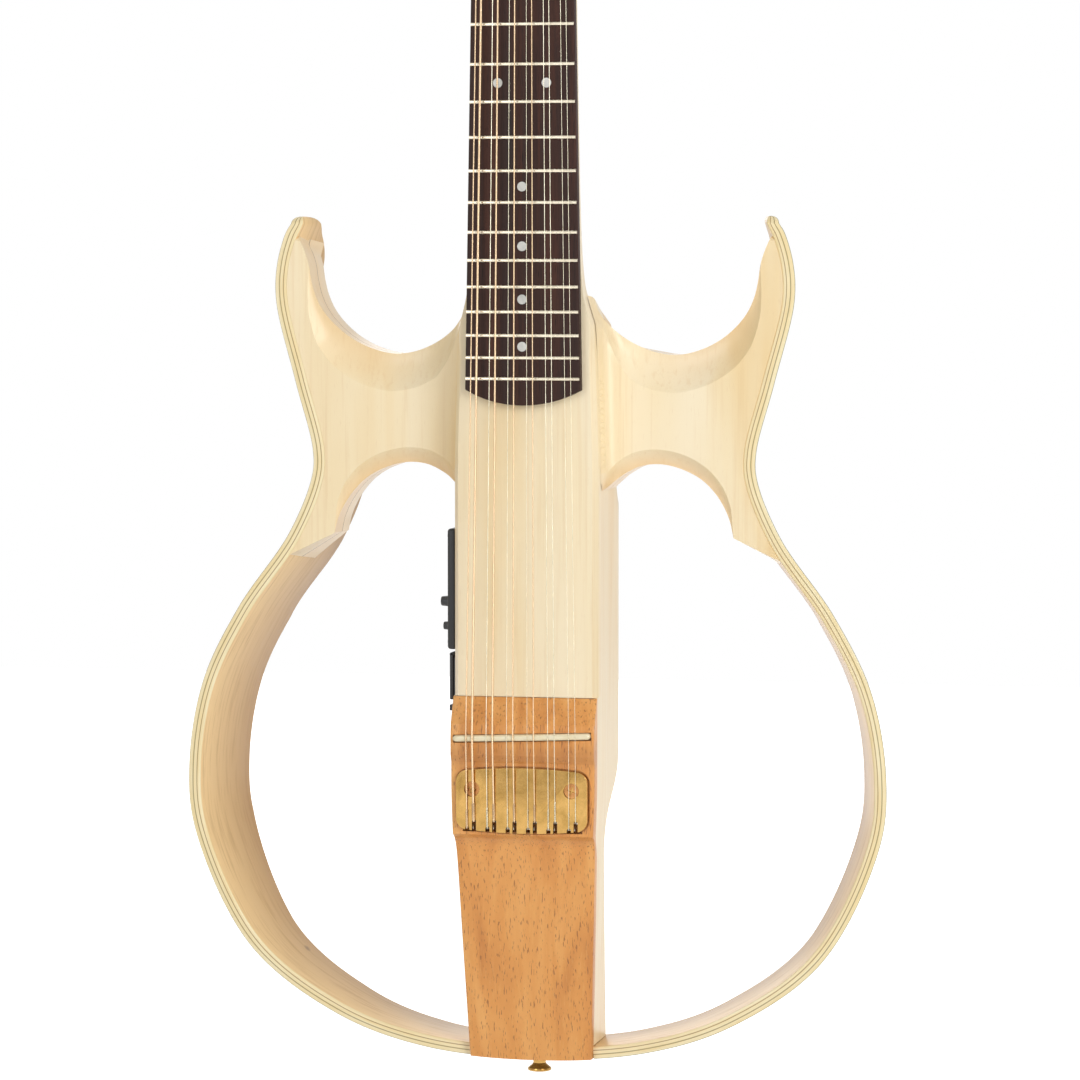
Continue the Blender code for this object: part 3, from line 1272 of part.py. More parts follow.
def make_jack():
    face = BEAM_HALF + GAP
    profile = ((JACK_BORE, JACK_FLANGE + 0.0022), (JACK_BODY_RADIUS, JACK_FLANGE + 0.0022),
               (JACK_BODY_RADIUS, JACK_FLANGE), (JACK_FLANGE_RADIUS, JACK_FLANGE),
               (JACK_FLANGE_RADIUS, 0.0), (JACK_BODY_RADIUS, 0.0), (JACK_BODY_RADIUS, -JACK_LENGTH),
               (JACK_BORE, -JACK_LENGTH))
    on_side = axis_frame(place(-face, JACK_Y, JACK_Z), (-1, 0, 0))
    obj = turned("output_jack", profile, "gold", 16, on_side)
    bm = bmesh.new()
    bm.from_mesh(obj.data)
    bm.verts.ensure_lookup_table()
    bm.edges.new((bm.verts[-1], bm.verts[0]))
    bm.to_mesh(obj.data)
    bm.free()


def make_strap_button():
    height, flange, neck = STRAP_HEIGHT, STRAP_FLANGE_RADIUS, STRAP_NECK_RADIUS
    profile = ((0.0, height), (flange * 0.93, height), (flange, height * 0.9),
               (flange, height * 0.78), (neck, height * 0.55), (neck, height * 0.12),
               (neck * 1.25, 0.0), (STRAP_SHANK_RADIUS, 0.0),
               (STRAP_SHANK_RADIUS, 0.002 - STRAP_SHANK_LENGTH), (0.0, -STRAP_SHANK_LENGTH))
    place_on = place(0, TAIL_BUTTON_Y, RIM_TAIL_Z - GAP)
    turned("strap_button", profile, "gold", 16, axis_frame(place_on, (0, 0, -1)))


def build():
    make_rim()
    make_wing("bass", -1)
    make_wing("treble", 1)
    make_neck_beam()
    make_back_cover()
    make_bridge_block()
    make_saddle()
    make_tailpiece()
    make_fingerboard()
    make_nut()
    make_truss_rod()
    make_tuners()
    make_strings()
    make_preamp()
    make_battery()
    make_jack()
    make_strap_button()


clear_scene()
parts = new_collection("twelve_string_guitar")
cutters = new_collection("cutters")
materials = make_materials()
head = head_frame()
build()
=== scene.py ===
"""Looks for the twelve-string guitar with a bent open rim around a centre beam.

Metres, in the frame's own axes: +Z up to the headstock, -Y the playing side, +X the treble
side. The origin is where the nut meets the fingerboard. Body heights count from the saddle.
"""
from functools import lru_cache
from math import cos, pi, radians, sin, sqrt, tan

import bmesh
import bpy
import numpy as np
from mathutils import Matrix, Vector
from mathutils.geometry import delaunay_2d_cdt


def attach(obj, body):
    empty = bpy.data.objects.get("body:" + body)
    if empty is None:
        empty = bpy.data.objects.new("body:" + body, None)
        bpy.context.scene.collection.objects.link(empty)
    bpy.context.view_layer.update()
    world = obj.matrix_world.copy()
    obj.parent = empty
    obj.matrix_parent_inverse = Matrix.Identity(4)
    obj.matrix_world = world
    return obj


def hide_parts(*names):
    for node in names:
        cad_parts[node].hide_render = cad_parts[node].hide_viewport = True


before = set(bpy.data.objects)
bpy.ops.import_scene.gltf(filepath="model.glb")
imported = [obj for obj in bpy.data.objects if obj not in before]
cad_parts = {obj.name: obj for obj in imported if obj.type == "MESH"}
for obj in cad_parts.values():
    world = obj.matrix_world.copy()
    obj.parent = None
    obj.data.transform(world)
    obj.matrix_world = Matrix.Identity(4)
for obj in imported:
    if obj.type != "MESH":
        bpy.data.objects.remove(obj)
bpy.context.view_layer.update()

# Scale and fingerboard
SCALE_LENGTH = 0.650
SADDLE_Z = -(SCALE_LENGTH + 0.0046)
FRET_COUNT = 22
NUT_WIDTH = 0.0455
BOARD_END_WIDTH = 0.0608
BOARD_THICKNESS = 0.0066
BOARD_RADIUS = 0.400
BOARD_PAST_LAST_FRET = 0.0058
BOARD_END_BULGE = 0.0080
BOARD_EDGE_FALL = 0.0005
DOT_FRETS = (3, 5, 7, 9, 15, 17, 19, 21)
OCTAVE_FRET = 12
OCTAVE_DOT_X = 0.01285
OCTAVE_SIDE_DOT_SHIFT = 0.004
DOT_SIZES = {"Radius": 0.0025, "Depth": 0.0004}
SIDE_DOT_SIZES = {"Radius": 0.0009, "Depth": 0.0003, "Facing": 0.0, "Swing": pi / 2}
FRET_WIDTH = 0.0020
FRET_HEIGHT = 0.0011
NUT_LENGTH = 0.005
NUT_HEIGHT = 0.0083
NUT_SLOT_DEPTH = 0.0004

# Left between neighbouring pieces, so that they never share a face
GAP = 0.0003

# Neck and beam
NECK_DEPTH_AT_NUT = 0.0145
NECK_STRAIGHT = 0.0120
BEAM_HALF = 0.0382
BEAM_TAIL_HALF = 0.0325
BEAM_EDGE_WIDTH = 0.0026
BEAM_EDGE_DEPTH = 0.0045
BEAM_BACK_ROUND = 0.003
BEAM_DEPTH = 0.0603
HEEL_DEPTH = 0.050
STEM_DEPTH = 0.0285
BOXY_FROM_Z = 0.237
BOXY_BY_Z = 0.198

# Rim and wings
RIM_FRONT_Y = 0.018
RIM_THICKNESS = 0.0063
RIM_DEPTH = 0.0518
RIM_DEPTH_AT_TAIL = 0.038
RIM_DEPTH_AT_HORN = 0.036
RIM_SHALLOWS_Z = -0.055
HORN_SHALLOWS_Z = (0.095, 0.272)
RIM_DRAFT = 0.25
RIM_EDGE_ROUND = 0.0009
RIM_TAIL_Z = -0.1714
LOWER_BOUT_HALF = 0.1871
WAIST_HALF = 0.1186
UPPER_BOUT_HALF = 0.1383
RIM_STATIONS = 420
WING_LAYER = 0.016
WING_GLUE = 0.00005
SEAM_GAP = 0.00025
WING_BACK_ROUND = 0.002
HORN_LEAST_WIDTH = 0.0001
WING_TOP_Z = 0.2300
WING_FALL_WITHIN_X = 0.068
WING_BACK_FALL = 0.017
HORN_CLIP_Z = 0.236
HORN_BACK_DROP = 0.4
WING_LOW_Z = 0.1285
NUB_Z = 0.0965
HORN_FACET_Z = 0.2592
HORN_FACET_SLOPE = 2.2
HORN_TAPER_Z = 0.2510
HORN_TOP_Z = 0.2672
HORN_TIP_Z = 0.2702
HORN_TIP_DEPTH = 0.006
# Shares of the horn's width and depth, and how far each ring stands past its end
HORN_TIP_STEPS = ((0.97, 0.89, 0.0010), (0.88, 0.74, 0.0020), (0.72, 0.56, 0.0029),
                  (0.48, 0.38, 0.0035), (0.22, 0.20, 0.0038))
WING_END_Z = 0.2630
# Coves as (width, fall)
CUTAWAY_COVE = (0.0195, 0.008)
HOLE_COVE = (0.0078, 0.0045)
RIDGE_STEP = 0.0004
FILLET_RADIUS = 0.009
FILLET_TOP_Y = 0.009
WING_MESH_STEP = 0.0034
EDGE_SQUARE_FROM_X = 0.058

# Bridge block, saddle and tailpiece
BLOCK_TOP_Z = 0.0216
BLOCK_INLAY = 0.0015
BLOCK_RISE = 0.0075
BLOCK_RAMP_END_Z = 0.0005
BLOCK_STEP_Z = -0.0125
BLOCK_STEP = 0.0017
BLOCK_COVE_TOP_Z = -0.0502
BLOCK_COVE_END_Z = -0.0625
BLOCK_COVE_Y = 0.0016
BLOCK_TAIL_Y = 0.0138
BLOCK_TAIL_THICKNESS = 0.0061
BLOCK_EDGE = 0.0010
BLOCK_EDGE_FALL_AT_TOP = 0.0008
SADDLE_HALF_LENGTH = 0.0364
SADDLE_THICKNESS = 0.0032
SADDLE_SLANT = radians(2.0)
SADDLE_CENTRE_Z = 0.0012
SADDLE_TOP_Y = -0.0116
SLOT_FLOOR_Y = -0.0025
SLOT_EXTRA = 0.0004
PLATE_HALF_WIDTH = 0.0350
PLATE_HALF_HEIGHT = 0.0172
PLATE_END_HALF_HEIGHT = 0.0157
PLATE_CORNER = 0.0062
PLATE_THICKNESS = 0.0025
PLATE_CENTRE_Z = -0.0319
PLATE_BACK_Y = -BLOCK_RISE + BLOCK_STEP - GAP
PLATE_FRONT_Y = PLATE_BACK_Y - PLATE_THICKNESS
# Place from the middle line and the saddle
PLATE_SCREW = (0.0264, -0.0262)
PLATE_SCREW_HEAD = 0.0038
# Head radius, height and slot width, here and for the screws below
PLATE_SCREW_SIZES = (PLATE_SCREW_HEAD, 0.0016, 0.0009)
PLATE_SINK_DEPTH = 0.0016
PLATE_BED_MARGIN = 0.0006
PLATE_BED_DEPTH = 0.0012
STRING_SLOT_WIDTH = 0.0022
BALL_RADIUS = 0.0017
BALL_LENGTH = 0.005
BALL_Y = -0.0033
BALL_ROWS_Z = (-0.0467, -0.0430)
BALL_POCKET_HALF = 0.0318
BALL_POCKET_FLOOR_Y = -0.0011

# Strings, bass to treble
STRING_DIAMETERS = (0.00069, 0.00119, 0.00046, 0.00099, 0.00030, 0.00076,
                    0.00025, 0.00058, 0.00036, 0.00036, 0.00025, 0.00025)
WOUND_STRINGS = (0, 1, 3, 5, 7)
# Wire radius and length of the twist at the ball
WOUND_TWIST = (0.0002, 0.0085)
PLAIN_TWIST_LENGTH = 0.0098
TWIST_START = 0.0010
POST_TURNS = 3.5
POST_COIL_HIGHEST = 0.0030
COURSE_COUNT = 6
# From course to course, and from string to string in a course
NUT_SPACING = (0.00742, 0.00245)
SADDLE_SPACING = (0.0109, 0.0034)
PLATE_SPACING = (0.0108, 0.0036)

# Headstock and tuners, in the headstock's own tilted frame
HEAD_TILT = radians(13)
HEAD_LENGTH = 0.205
HEAD_THICKNESS = 0.0143
HEAD_SHOULDER_HALF = 0.0355
HEAD_TOP_HALF = 0.0385
HEAD_CORNER = 0.0085
HEAD_EDGE = 0.0012
HEAD_BACK_ROUND = 0.0015
TUNERS_PER_SIDE = 6
TUNER_FIRST = 0.043
TUNER_PITCH = 0.0262
POST_X = 0.027
POST_RADIUS = 0.003
POST_WAIST_RADIUS = 0.0023
POST_TIP_Y = -0.0132
POST_WAIST_Y = -0.0080
POST_BORE = 0.0036
GEAR_RADIUS = 0.0045
GEAR_START = HEAD_THICKNESS + GAP + 0.0016
GEAR_THICKNESS = 0.003
WORM_RADIUS = 0.0017
WORM_OFFSET = 0.0066
SHAFT_RADIUS = 0.0015
SHAFT_Y = GEAR_START + GEAR_THICKNESS / 2
BUTTON_START = 0.0168
BUTTON_LENGTH = 0.0165
BUTTON_HALF_WIDTH = 0.0088
BUTTON_HALF_THICKNESS = 0.0038
BUTTON_COLLAR = 0.0024
# Shares of the button's length, half width and half thickness, from the collar out
BUTTON_GRIP = (
    (0.0, 0.30, 0.75), (0.03, 0.42, 0.9), (0.10, 0.64, 0.98), (0.22, 0.86, 1.0),
    (0.4, 0.97, 0.95), (0.6, 1.0, 0.9), (0.78, 0.9, 0.82), (0.9, 0.72, 0.70),
    (0.97, 0.52, 0.52), (1.0, 0.30, 0.3),
)
STRIP_THICKNESS = 0.0012
STRIP_SPAN = (0.0195, 0.0345)
STRIP_PAST = 0.0105
HOUSING_DEPTH = 0.0088
HOUSING_WALL = 0.0011
HOUSING_SPAN = (-0.0072, 0.0098)
HOUSING_LOW = 0.0062
HOUSING_HIGH = 0.0105
STRIP_SCREW_SIZES = (0.0016, 0.0010, 0.0004)
# Radius and thickness
FERRULE_SIZES = (0.0045, 0.0009)
FERRULE_Y = -0.0006
TRUSS_SCREW_SIZES = (0.0014, 0.0008, 0.0004)
TRUSS_SCREWS = ((0.0, -0.0017, 0.0292), (-0.0078, -0.0017, 0.0058), (0.0078, -0.0017, 0.0058))
TRUSS_COVER_EDGE = ((0.0, 0.0345), (0.0048, 0.0325), (0.0062, 0.0270), (0.0082, 0.0150),
                    (0.0112, 0.0065), (0.0120, 0.0012))
TRUSS_COVER_STEPS = ((-0.00005, 0.0), (-0.0011, 0.0), (-0.0015, 0.0006))
TRUSS_COVER_MIDDLE = (0.0, 0.012)

# Electronics on the bass side of the beam, and the ends
CHAMBER_TOP_Z = 0.1130
CHAMBER_LOW_Z = -0.0070
CHAMBER_HALF = 0.0300
CHAMBER_FRONT_Y = 0.0100
COVER_LEDGE = 0.0040
COVER_THICKNESS = 0.0024
COVER_SCREW_INSET = 0.0020
COVER_SCREW_SIZES = (0.0017, 0.0009, 0.0004)
SIDE_X = -BEAM_HALF - GAP
PANEL_Z = (0.0450, 0.1082)
PANEL_Y = (0.0080, 0.0460)
PANEL_THICKNESS = 0.0048
PANEL_ROUND = 0.0016
PANEL_WINDOW_INSET = 0.0050
PANEL_SCREW_INSET = 0.0038
PANEL_SCREW_SIZES = (0.0014, 0.0006, 0.0004)
PANEL_RECESS_Y = (0.0285, 0.0405)
PANEL_RECESS_Z = (0.0565, 0.0965)
PANEL_RECESS_DEPTH = 0.0006
PANEL_LAMP = (0.0180, 0.0850)
PREAMP_CASE_END_X = -0.0280
KNOB_Y = 0.0180
KNOB_SHAFT_RADIUS = 0.0013
KNOB_SHAFT_LENGTH = 0.0090
KNOB_LINE_HALF = 0.00018
# Knobs as (height, radius, length)
VOLUME_KNOB = (0.0696, 0.0029, 0.0051)
TONE_KNOB = (0.0567, 0.00235, 0.0038)
BATTERY_Z = 0.0310
BATTERY_Y = 0.0265
BATTERY_SIZE = (0.0485, 0.0265, 0.0175)
BATTERY_BOX_WALL = 0.0013
BOX_FLANGE = 0.0013
DOOR_Z = (0.0186, 0.0434)
DOOR_Y = (0.0085, 0.0445)
DOOR_THICKNESS = 0.0020
DOOR_HINGE_RADIUS = 0.0011
DOOR_RIB_COUNT = 5
DOOR_RIB_START = 0.0030
DOOR_RIB_PITCH = 0.0014
DOOR_RIB_WIDTH = 0.0006
JACK_Z = 0.0032
JACK_Y = 0.0300
JACK_BORE = 0.0033
JACK_BODY_RADIUS = 0.0045
JACK_FLANGE_RADIUS = 0.0070
JACK_FLANGE = 0.0018
JACK_NUT = 0.0022
JACK_LENGTH = 0.0230
STRAP_FLANGE_RADIUS = 0.0064
STRAP_NECK_RADIUS = 0.0034
STRAP_HEIGHT = 0.0085
STRAP_SHANK_RADIUS = 0.0020
STRAP_SHANK_LENGTH = 0.0200
STRAP_BUTTON_Y = 0.0365

# Camera, light and floor

# The camera was solved from the fret spacing in the photo
CAMERA_TARGET = (0.0095, -0.0065, -0.5508)
CAMERA_DISTANCE = 2.464
CAMERA_AZIMUTH = radians(12.2)
CAMERA_ELEVATION = radians(3.5)
CAMERA_LENS = 158.9
CAMERA_SENSOR = 36.0
FLOOR_Z = -0.900
FLOOR_SIZE = 6.0
WORLD_LIGHT = 0.33
FLOOR_GLOW = 0.85
WHITE = (1.0, 1.0, 1.0, 1.0)
LAMP_AIM = (0, 0.02, 0.05)
LAMPS = (
    ("soft_key", (-1.2, -2.5, 0.35), (1.2, 1.2), 15),
    ("soft_fill", (2.0, -1.9, 0.15), (1.2, 1.6), 38),
    ("soft_back", (-1.2, 2.1, 0.4), (2.0, 1.6), 13),
)

# Marks in the wood: glue lines and a painted edge shade as (place across, half width, colour), a
# knot, and the reach of a painted shade below the saddle
GLUE_LINES_AND_EDGE_SHADE = (
    (0.39, 0.055, (150, 128, 78)),
    (0.72, 0.050, (158, 124, 74)),
    # A painted shade along the rounded outer edge
    (0.03, 0.045, (150, 148, 122)),
)
KNOT = (-0.1295, 0.051, -0.1197)
SHADE_REACH = 0.0085


# Mesh helpers

MERGE_DISTANCE = 0.000002


def link(obj):
    bpy.context.scene.collection.objects.link(obj)
    return obj


def settle(mesh, sharp, collapse=False):
    """Merge doubles, face everything outward and keep edges sharp past an angle.

    With collapse, faces without an area go too.
    """
    bm = bmesh.new()
    bm.from_mesh(mesh)
    bmesh.ops.remove_doubles(bm, verts=bm.verts, dist=MERGE_DISTANCE)
    if collapse:
        bmesh.ops.dissolve_degenerate(bm, edges=bm.edges, dist=MERGE_DISTANCE / 2)
        bmesh.ops.remove_doubles(bm, verts=bm.verts, dist=MERGE_DISTANCE)
    bmesh.ops.recalc_face_normals(bm, faces=bm.faces)
    bm.to_mesh(mesh)
    bm.free()
    mesh.shade_smooth()
    mesh.set_sharp_from_angle(angle=radians(sharp))
    return mesh


def make_mesh(name, verts, faces, sharp=30, values=None):
    """A mesh from points and faces; values adds named numbers to its points."""
    mesh = bpy.data.meshes.new(name)
    mesh.from_pydata([tuple(map(float, v)) for v in verts], [], faces)
    for label, numbers in (values or {}).items():
        layer = mesh.attributes.new(label, "FLOAT", "POINT")
        layer.data.foreach_set("value", np.asarray(numbers, dtype=np.float32))
    return settle(mesh, sharp)


def skin_faces(rows, columns, capped=True):
    """Faces over rows of closed rings, with a flat cap on the first and the last."""
    faces = []
    for i in range(rows - 1):
        low = i * columns
        for j in range(columns):
            k = (j + 1) % columns
            faces.append((low + j, low + k, low + columns + k, low + columns + j))
    if capped:
        faces.append(tuple(range(columns)))
        faces.append(tuple(range((rows - 1) * columns, rows * columns)))
    return faces


def loft(name, rings, sharp=30, values=None):
    rings = np.asarray([[tuple(p) for p in ring] for ring in rings], float)
    rows, columns, _ = rings.shape
    return make_mesh(name, rings.reshape(-1, 3), skin_faces(rows, columns), sharp, values)


def turned(name, profile, matrix, steps=40, sharp=30, closed=False, flutes=0, flute_depth=0.0):
    """A turned solid from (radius, height) points, set in place by matrix.

    An open profile starts and ends on the axis; a closed one is a ring with a bore.
    """
    rings, last = [], len(profile) - 1
    for i, (radius, height) in enumerate(profile):
        if not closed and i in (0, last):
            radius = 0.0
        ring = []
        for k in range(steps):
            turn = 2 * pi * k / steps
            grip = 1 - flute_depth * (0.5 - 0.5 * cos(flutes * turn)) if flutes else 1.0
            ring.append((radius * grip * cos(turn), radius * grip * sin(turn), height))
        rings.append(ring)
    rows = len(rings)
    faces = skin_faces(rows, steps, capped=False)
    if closed:
        base = (rows - 1) * steps
        faces += [(base + k, base + (k + 1) % steps, (k + 1) % steps, k) for k in range(steps)]
    mesh = bpy.data.meshes.new(name)
    mesh.from_pydata([p for ring in rings for p in ring], [], faces)
    mesh.transform(matrix)
    return settle(mesh, sharp, collapse=True)


def soft_box(name, low, high, radius=0.0, segments=3, matrix=None):
    """A box between two corners with its edges rounded."""
    size = Vector(high) - Vector(low)
    centre = (Vector(high) + Vector(low)) / 2
    bm = bmesh.new()
    sized = Matrix.Translation(centre) @ Matrix.Diagonal((*size, 1))
    bmesh.ops.create_cube(bm, size=1.0, matrix=sized)
    if radius:
        bmesh.ops.bevel(bm, geom=bm.edges, offset=radius, segments=segments, profile=0.5,
                        affect="EDGES")
    mesh = bpy.data.meshes.new(name)
    bm.to_mesh(mesh)
    bm.free()
    if matrix:
        mesh.transform(matrix)
    return settle(mesh, 40)


def rod(name, start, end, radius, segments=24):
    """A plain round bar, also used as a drill."""
    axis = Vector(end) - Vector(start)
    return turned(name, ((0, 0), (radius, 0), (radius, axis.length), (0, axis.length)),
                  axis_frame(start, axis), segments)


def merged(name, meshes, sharp=30):
    """Several meshes as one."""
    bm = bmesh.new()
    for mesh in meshes:
        bm.from_mesh(mesh)
    whole = bpy.data.meshes.new(name)
    bm.to_mesh(whole)
    bm.free()
    return settle(whole, sharp)


def carve(mesh, tool, sharp=30, operation="DIFFERENCE"):
    """Cut one mesh by another and bake the result."""
    name = mesh.name
    wood = link(bpy.data.objects.new("stock", mesh))
    blade = link(bpy.data.objects.new("blade", tool))
    cut = wood.modifiers.new("cut", "BOOLEAN")
    cut.operation = operation
    cut.solver = "EXACT"
    cut.object = blade
    depsgraph = bpy.context.evaluated_depsgraph_get()
    baked = bpy.data.meshes.new_from_object(wood.evaluated_get(depsgraph))
    for obj in (wood, blade):
        bpy.data.objects.remove(obj, do_unlink=True)
    baked.name = name + "_cut"
    return settle(baked, sharp)


def axis_frame(origin, direction):
    """A frame whose own Z runs along direction."""
    turn = Vector(direction).to_track_quat("Z", "Y").to_matrix().to_4x4()
    return Matrix.Translation(origin) @ turn


def tube(name, points, radius, segments=12):
    """A round wire through the given points."""
    points = [Vector(p) for p in points]
    rings, side = [], None
    for i, point in enumerate(points):
        before = points[max(i - 1, 0)]
        after = points[min(i + 1, len(points) - 1)]
        along = (after - before).normalized()
        if side is None:
            side = along.orthogonal().normalized()
        side = (side - along * side.dot(along)).normalized()
        other = along.cross(side)
        turns = [2 * pi * k / segments for k in range(segments)]
        rings.append([point + radius * (cos(t) * side + sin(t) * other) for t in turns])
    return loft(name, rings, 60)


def rounded_path(points, radius, steps=5):
    """The same path with each corner eased over a short stretch."""
    points = [Vector(p) for p in points]
    path = [points[0]]
    for before, corner, after in zip(points, points[1:], points[2:]):
        start = corner + (before - corner).normalized() * radius
        end = corner + (after - corner).normalized() * radius
        for t in np.linspace(0, 1, steps):
            path.append((1 - t) ** 2 * start + 2 * t * (1 - t) * corner + t * t * end)
    path.append(points[-1])
    return path


def rounded_ring(corners, radius, steps=4):
    """A closed outline of 2-D corners, each eased by the same radius."""
    corners = [np.array(c, float) for c in corners]
    ring = []
    for i, corner in enumerate(corners):
        before, after = corners[i - 1], corners[(i + 1) % len(corners)]
        start = corner + (before - corner) / np.linalg.norm(before - corner) * radius
        end = corner + (after - corner) / np.linalg.norm(after - corner) * radius
        for t in np.linspace(0, 1, steps):
            ring.append((1 - t) ** 2 * start + 2 * t * (1 - t) * corner + t * t * end)
    return ring


def piece(name, mesh, material, body="instrument", stands_for=()):
    """Put a finished mesh into the scene on its body, for the frame nodes that it stands for."""
    obj = link(bpy.data.objects.new(name, mesh))
    mesh.materials.clear()
    for own in material if isinstance(material, (list, tuple)) else [material]:
        mesh.materials.append(own)
    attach(obj, body)
    if stands_for:
        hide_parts(*stands_for)
    return obj


# Shared shape formulas

def place(x, y, body_z):
    return Vector((x, y, SADDLE_Z + body_z))


def fret_z(number):
    return -SCALE_LENGTH * (1 - 2 ** (-number / 12))


def board_half(z):
    """Half the fingerboard's width at a height, from the nut to past the last fret."""
    growth = (BOARD_END_WIDTH - NUT_WIDTH) / 2
    return NUT_WIDTH / 2 + growth * z / fret_z(FRET_COUNT)


def sag(x):
    """How far the playing surface falls back from its middle line."""
    return x * x / (2 * BOARD_RADIUS)


def radians_to(*degrees):
    return [radians(d) for d in degrees]


def progress(value, start, end):
    """0 at start and 1 at end, held level outside them."""
    return np.clip((value - start) / (end - start), 0, 1)


def straight(value, table):
    """Read a size from (height, size) pairs in falling order, along straight lines."""
    heights, sizes = zip(*table[::-1])
    return float(np.interp(value, heights, sizes))


def eased(value, table):
    """Read a size from (height, size) pairs in falling order, on a curve that never overshoots."""
    heights = np.array([height for height, _ in table][::-1])
    sizes = np.array([size for _, size in table][::-1])
    slopes = np.diff(sizes) / np.diff(heights)
    inner = [0.0 if a * b <= 0 else 2 * a * b / (a + b) for a, b in zip(slopes, slopes[1:])]
    ends = np.array([slopes[0], *inner, slopes[-1]])
    value = float(np.clip(value, heights[0], heights[-1]))
    i = int(np.clip(np.searchsorted(heights, value) - 1, 0, len(slopes) - 1))
    span = heights[i + 1] - heights[i]
    t = (value - heights[i]) / span
    return float((1 + 2 * t) * (1 - t) ** 2 * sizes[i] + t * (1 - t) ** 2 * span * ends[i]
                 + t * t * (3 - 2 * t) * sizes[i + 1] + t * t * (t - 1) * span * ends[i + 1])


def smooth_row(points, count, mirrored_start=False):
    """Evenly spaced points on a smooth curve through the given ones."""
    given = [np.array(p, float) for p in points]
    before = given[1] * np.array((-1.0, 1.0)) if mirrored_start else 2 * given[0] - given[1]
    row = [before, *given, 2 * given[-1] - given[-2]]
    fine = []
    for p0, p1, p2, p3 in zip(row, row[1:], row[2:], row[3:]):
        knots = [0.0]
        for a, b in ((p0, p1), (p1, p2), (p2, p3)):
            knots.append(knots[-1] + sqrt(np.linalg.norm(b - a)))
        t0, t1, t2, t3 = knots
        for t in np.linspace(t1, t2, 24, endpoint=False):
            a1 = (t1 - t) / (t1 - t0) * p0 + (t - t0) / (t1 - t0) * p1
            a2 = (t2 - t) / (t2 - t1) * p1 + (t - t1) / (t2 - t1) * p2
            a3 = (t3 - t) / (t3 - t2) * p2 + (t - t2) / (t3 - t2) * p3
            b1 = (t2 - t) / (t2 - t0) * a1 + (t - t0) / (t2 - t0) * a2
            b2 = (t3 - t) / (t3 - t1) * a2 + (t - t1) / (t3 - t1) * a3
            fine.append((t2 - t) / (t2 - t1) * b1 + (t - t1) / (t2 - t1) * b2)
    fine = np.array([*fine, given[-1]])
    lengths = np.r_[0.0, np.cumsum(np.linalg.norm(np.diff(fine, axis=0), axis=1))]
    wanted = np.linspace(0.0, lengths[-1], count)
    return np.column_stack([np.interp(wanted, lengths, fine[:, k]) for k in range(2)])


# Half widths and depths by height, from the top down
HEAD_WIDTHS = (
    (HEAD_LENGTH, HEAD_TOP_HALF), (0.038, HEAD_SHOULDER_HALF), (0.029, 0.0335),
    (0.020, 0.0285), (0.010, 0.0235), (0.0, board_half(0)),
)
BEAM_WIDTHS = (
    (0.2496, board_half(SADDLE_Z + 0.2496)), (0.2400, 0.0299), (0.2310, 0.0310),
    (0.2220, 0.0334), (0.2140, 0.0357), (0.1846, 0.0370), (0.1346, BEAM_HALF), (-0.0204, BEAM_HALF),
    (-0.0734, 0.0364), (RIM_TAIL_Z, BEAM_TAIL_HALF),
)
BEAM_BACKS = (
    (0.3096, 0.0168), (0.2850, 0.0190), (0.2620, 0.0260), (0.2430, 0.0360),
    (0.2260, 0.0440), (0.2095, 0.0486), (0.1950, HEEL_DEPTH), (0.1400, HEEL_DEPTH),
    (0.1240, 0.0570), (0.1190, BEAM_DEPTH), (-0.0135, BEAM_DEPTH), (-0.0200, 0.0580),
    (-0.0290, 0.0490), (-0.0380, 0.0375), (-0.0460, 0.0310), (-0.0560, STEM_DEPTH),
    (-0.0700, 0.0308), (-0.1630, 0.0535),
)
BEAM_FRONTS = (
    (BLOCK_TOP_Z, 0.0), (BLOCK_TOP_Z - 0.0001, BLOCK_INLAY), (BLOCK_COVE_TOP_Z, BLOCK_INLAY),
    (BLOCK_COVE_END_Z, BLOCK_COVE_Y + BLOCK_TAIL_THICKNESS),
    (RIM_TAIL_Z, BLOCK_TAIL_Y + BLOCK_TAIL_THICKNESS),
)
BLOCK_FRONTS = (
    (BLOCK_TOP_Z - GAP, -0.0002), (BLOCK_RAMP_END_Z + 0.007, -BLOCK_RISE + 0.0006),
    (BLOCK_RAMP_END_Z, -BLOCK_RISE), (BLOCK_STEP_Z + 0.004, -BLOCK_RISE),
    (BLOCK_STEP_Z, -BLOCK_RISE + BLOCK_STEP), (BLOCK_COVE_TOP_Z, -BLOCK_RISE + BLOCK_STEP),
    (BLOCK_COVE_TOP_Z - 0.0022, -0.0026), (BLOCK_COVE_TOP_Z - 0.0055, -0.0002),
    (BLOCK_COVE_END_Z, BLOCK_COVE_Y), (-0.1100, BLOCK_COVE_Y + 0.0053),
    (RIM_TAIL_Z, BLOCK_TAIL_Y),
)
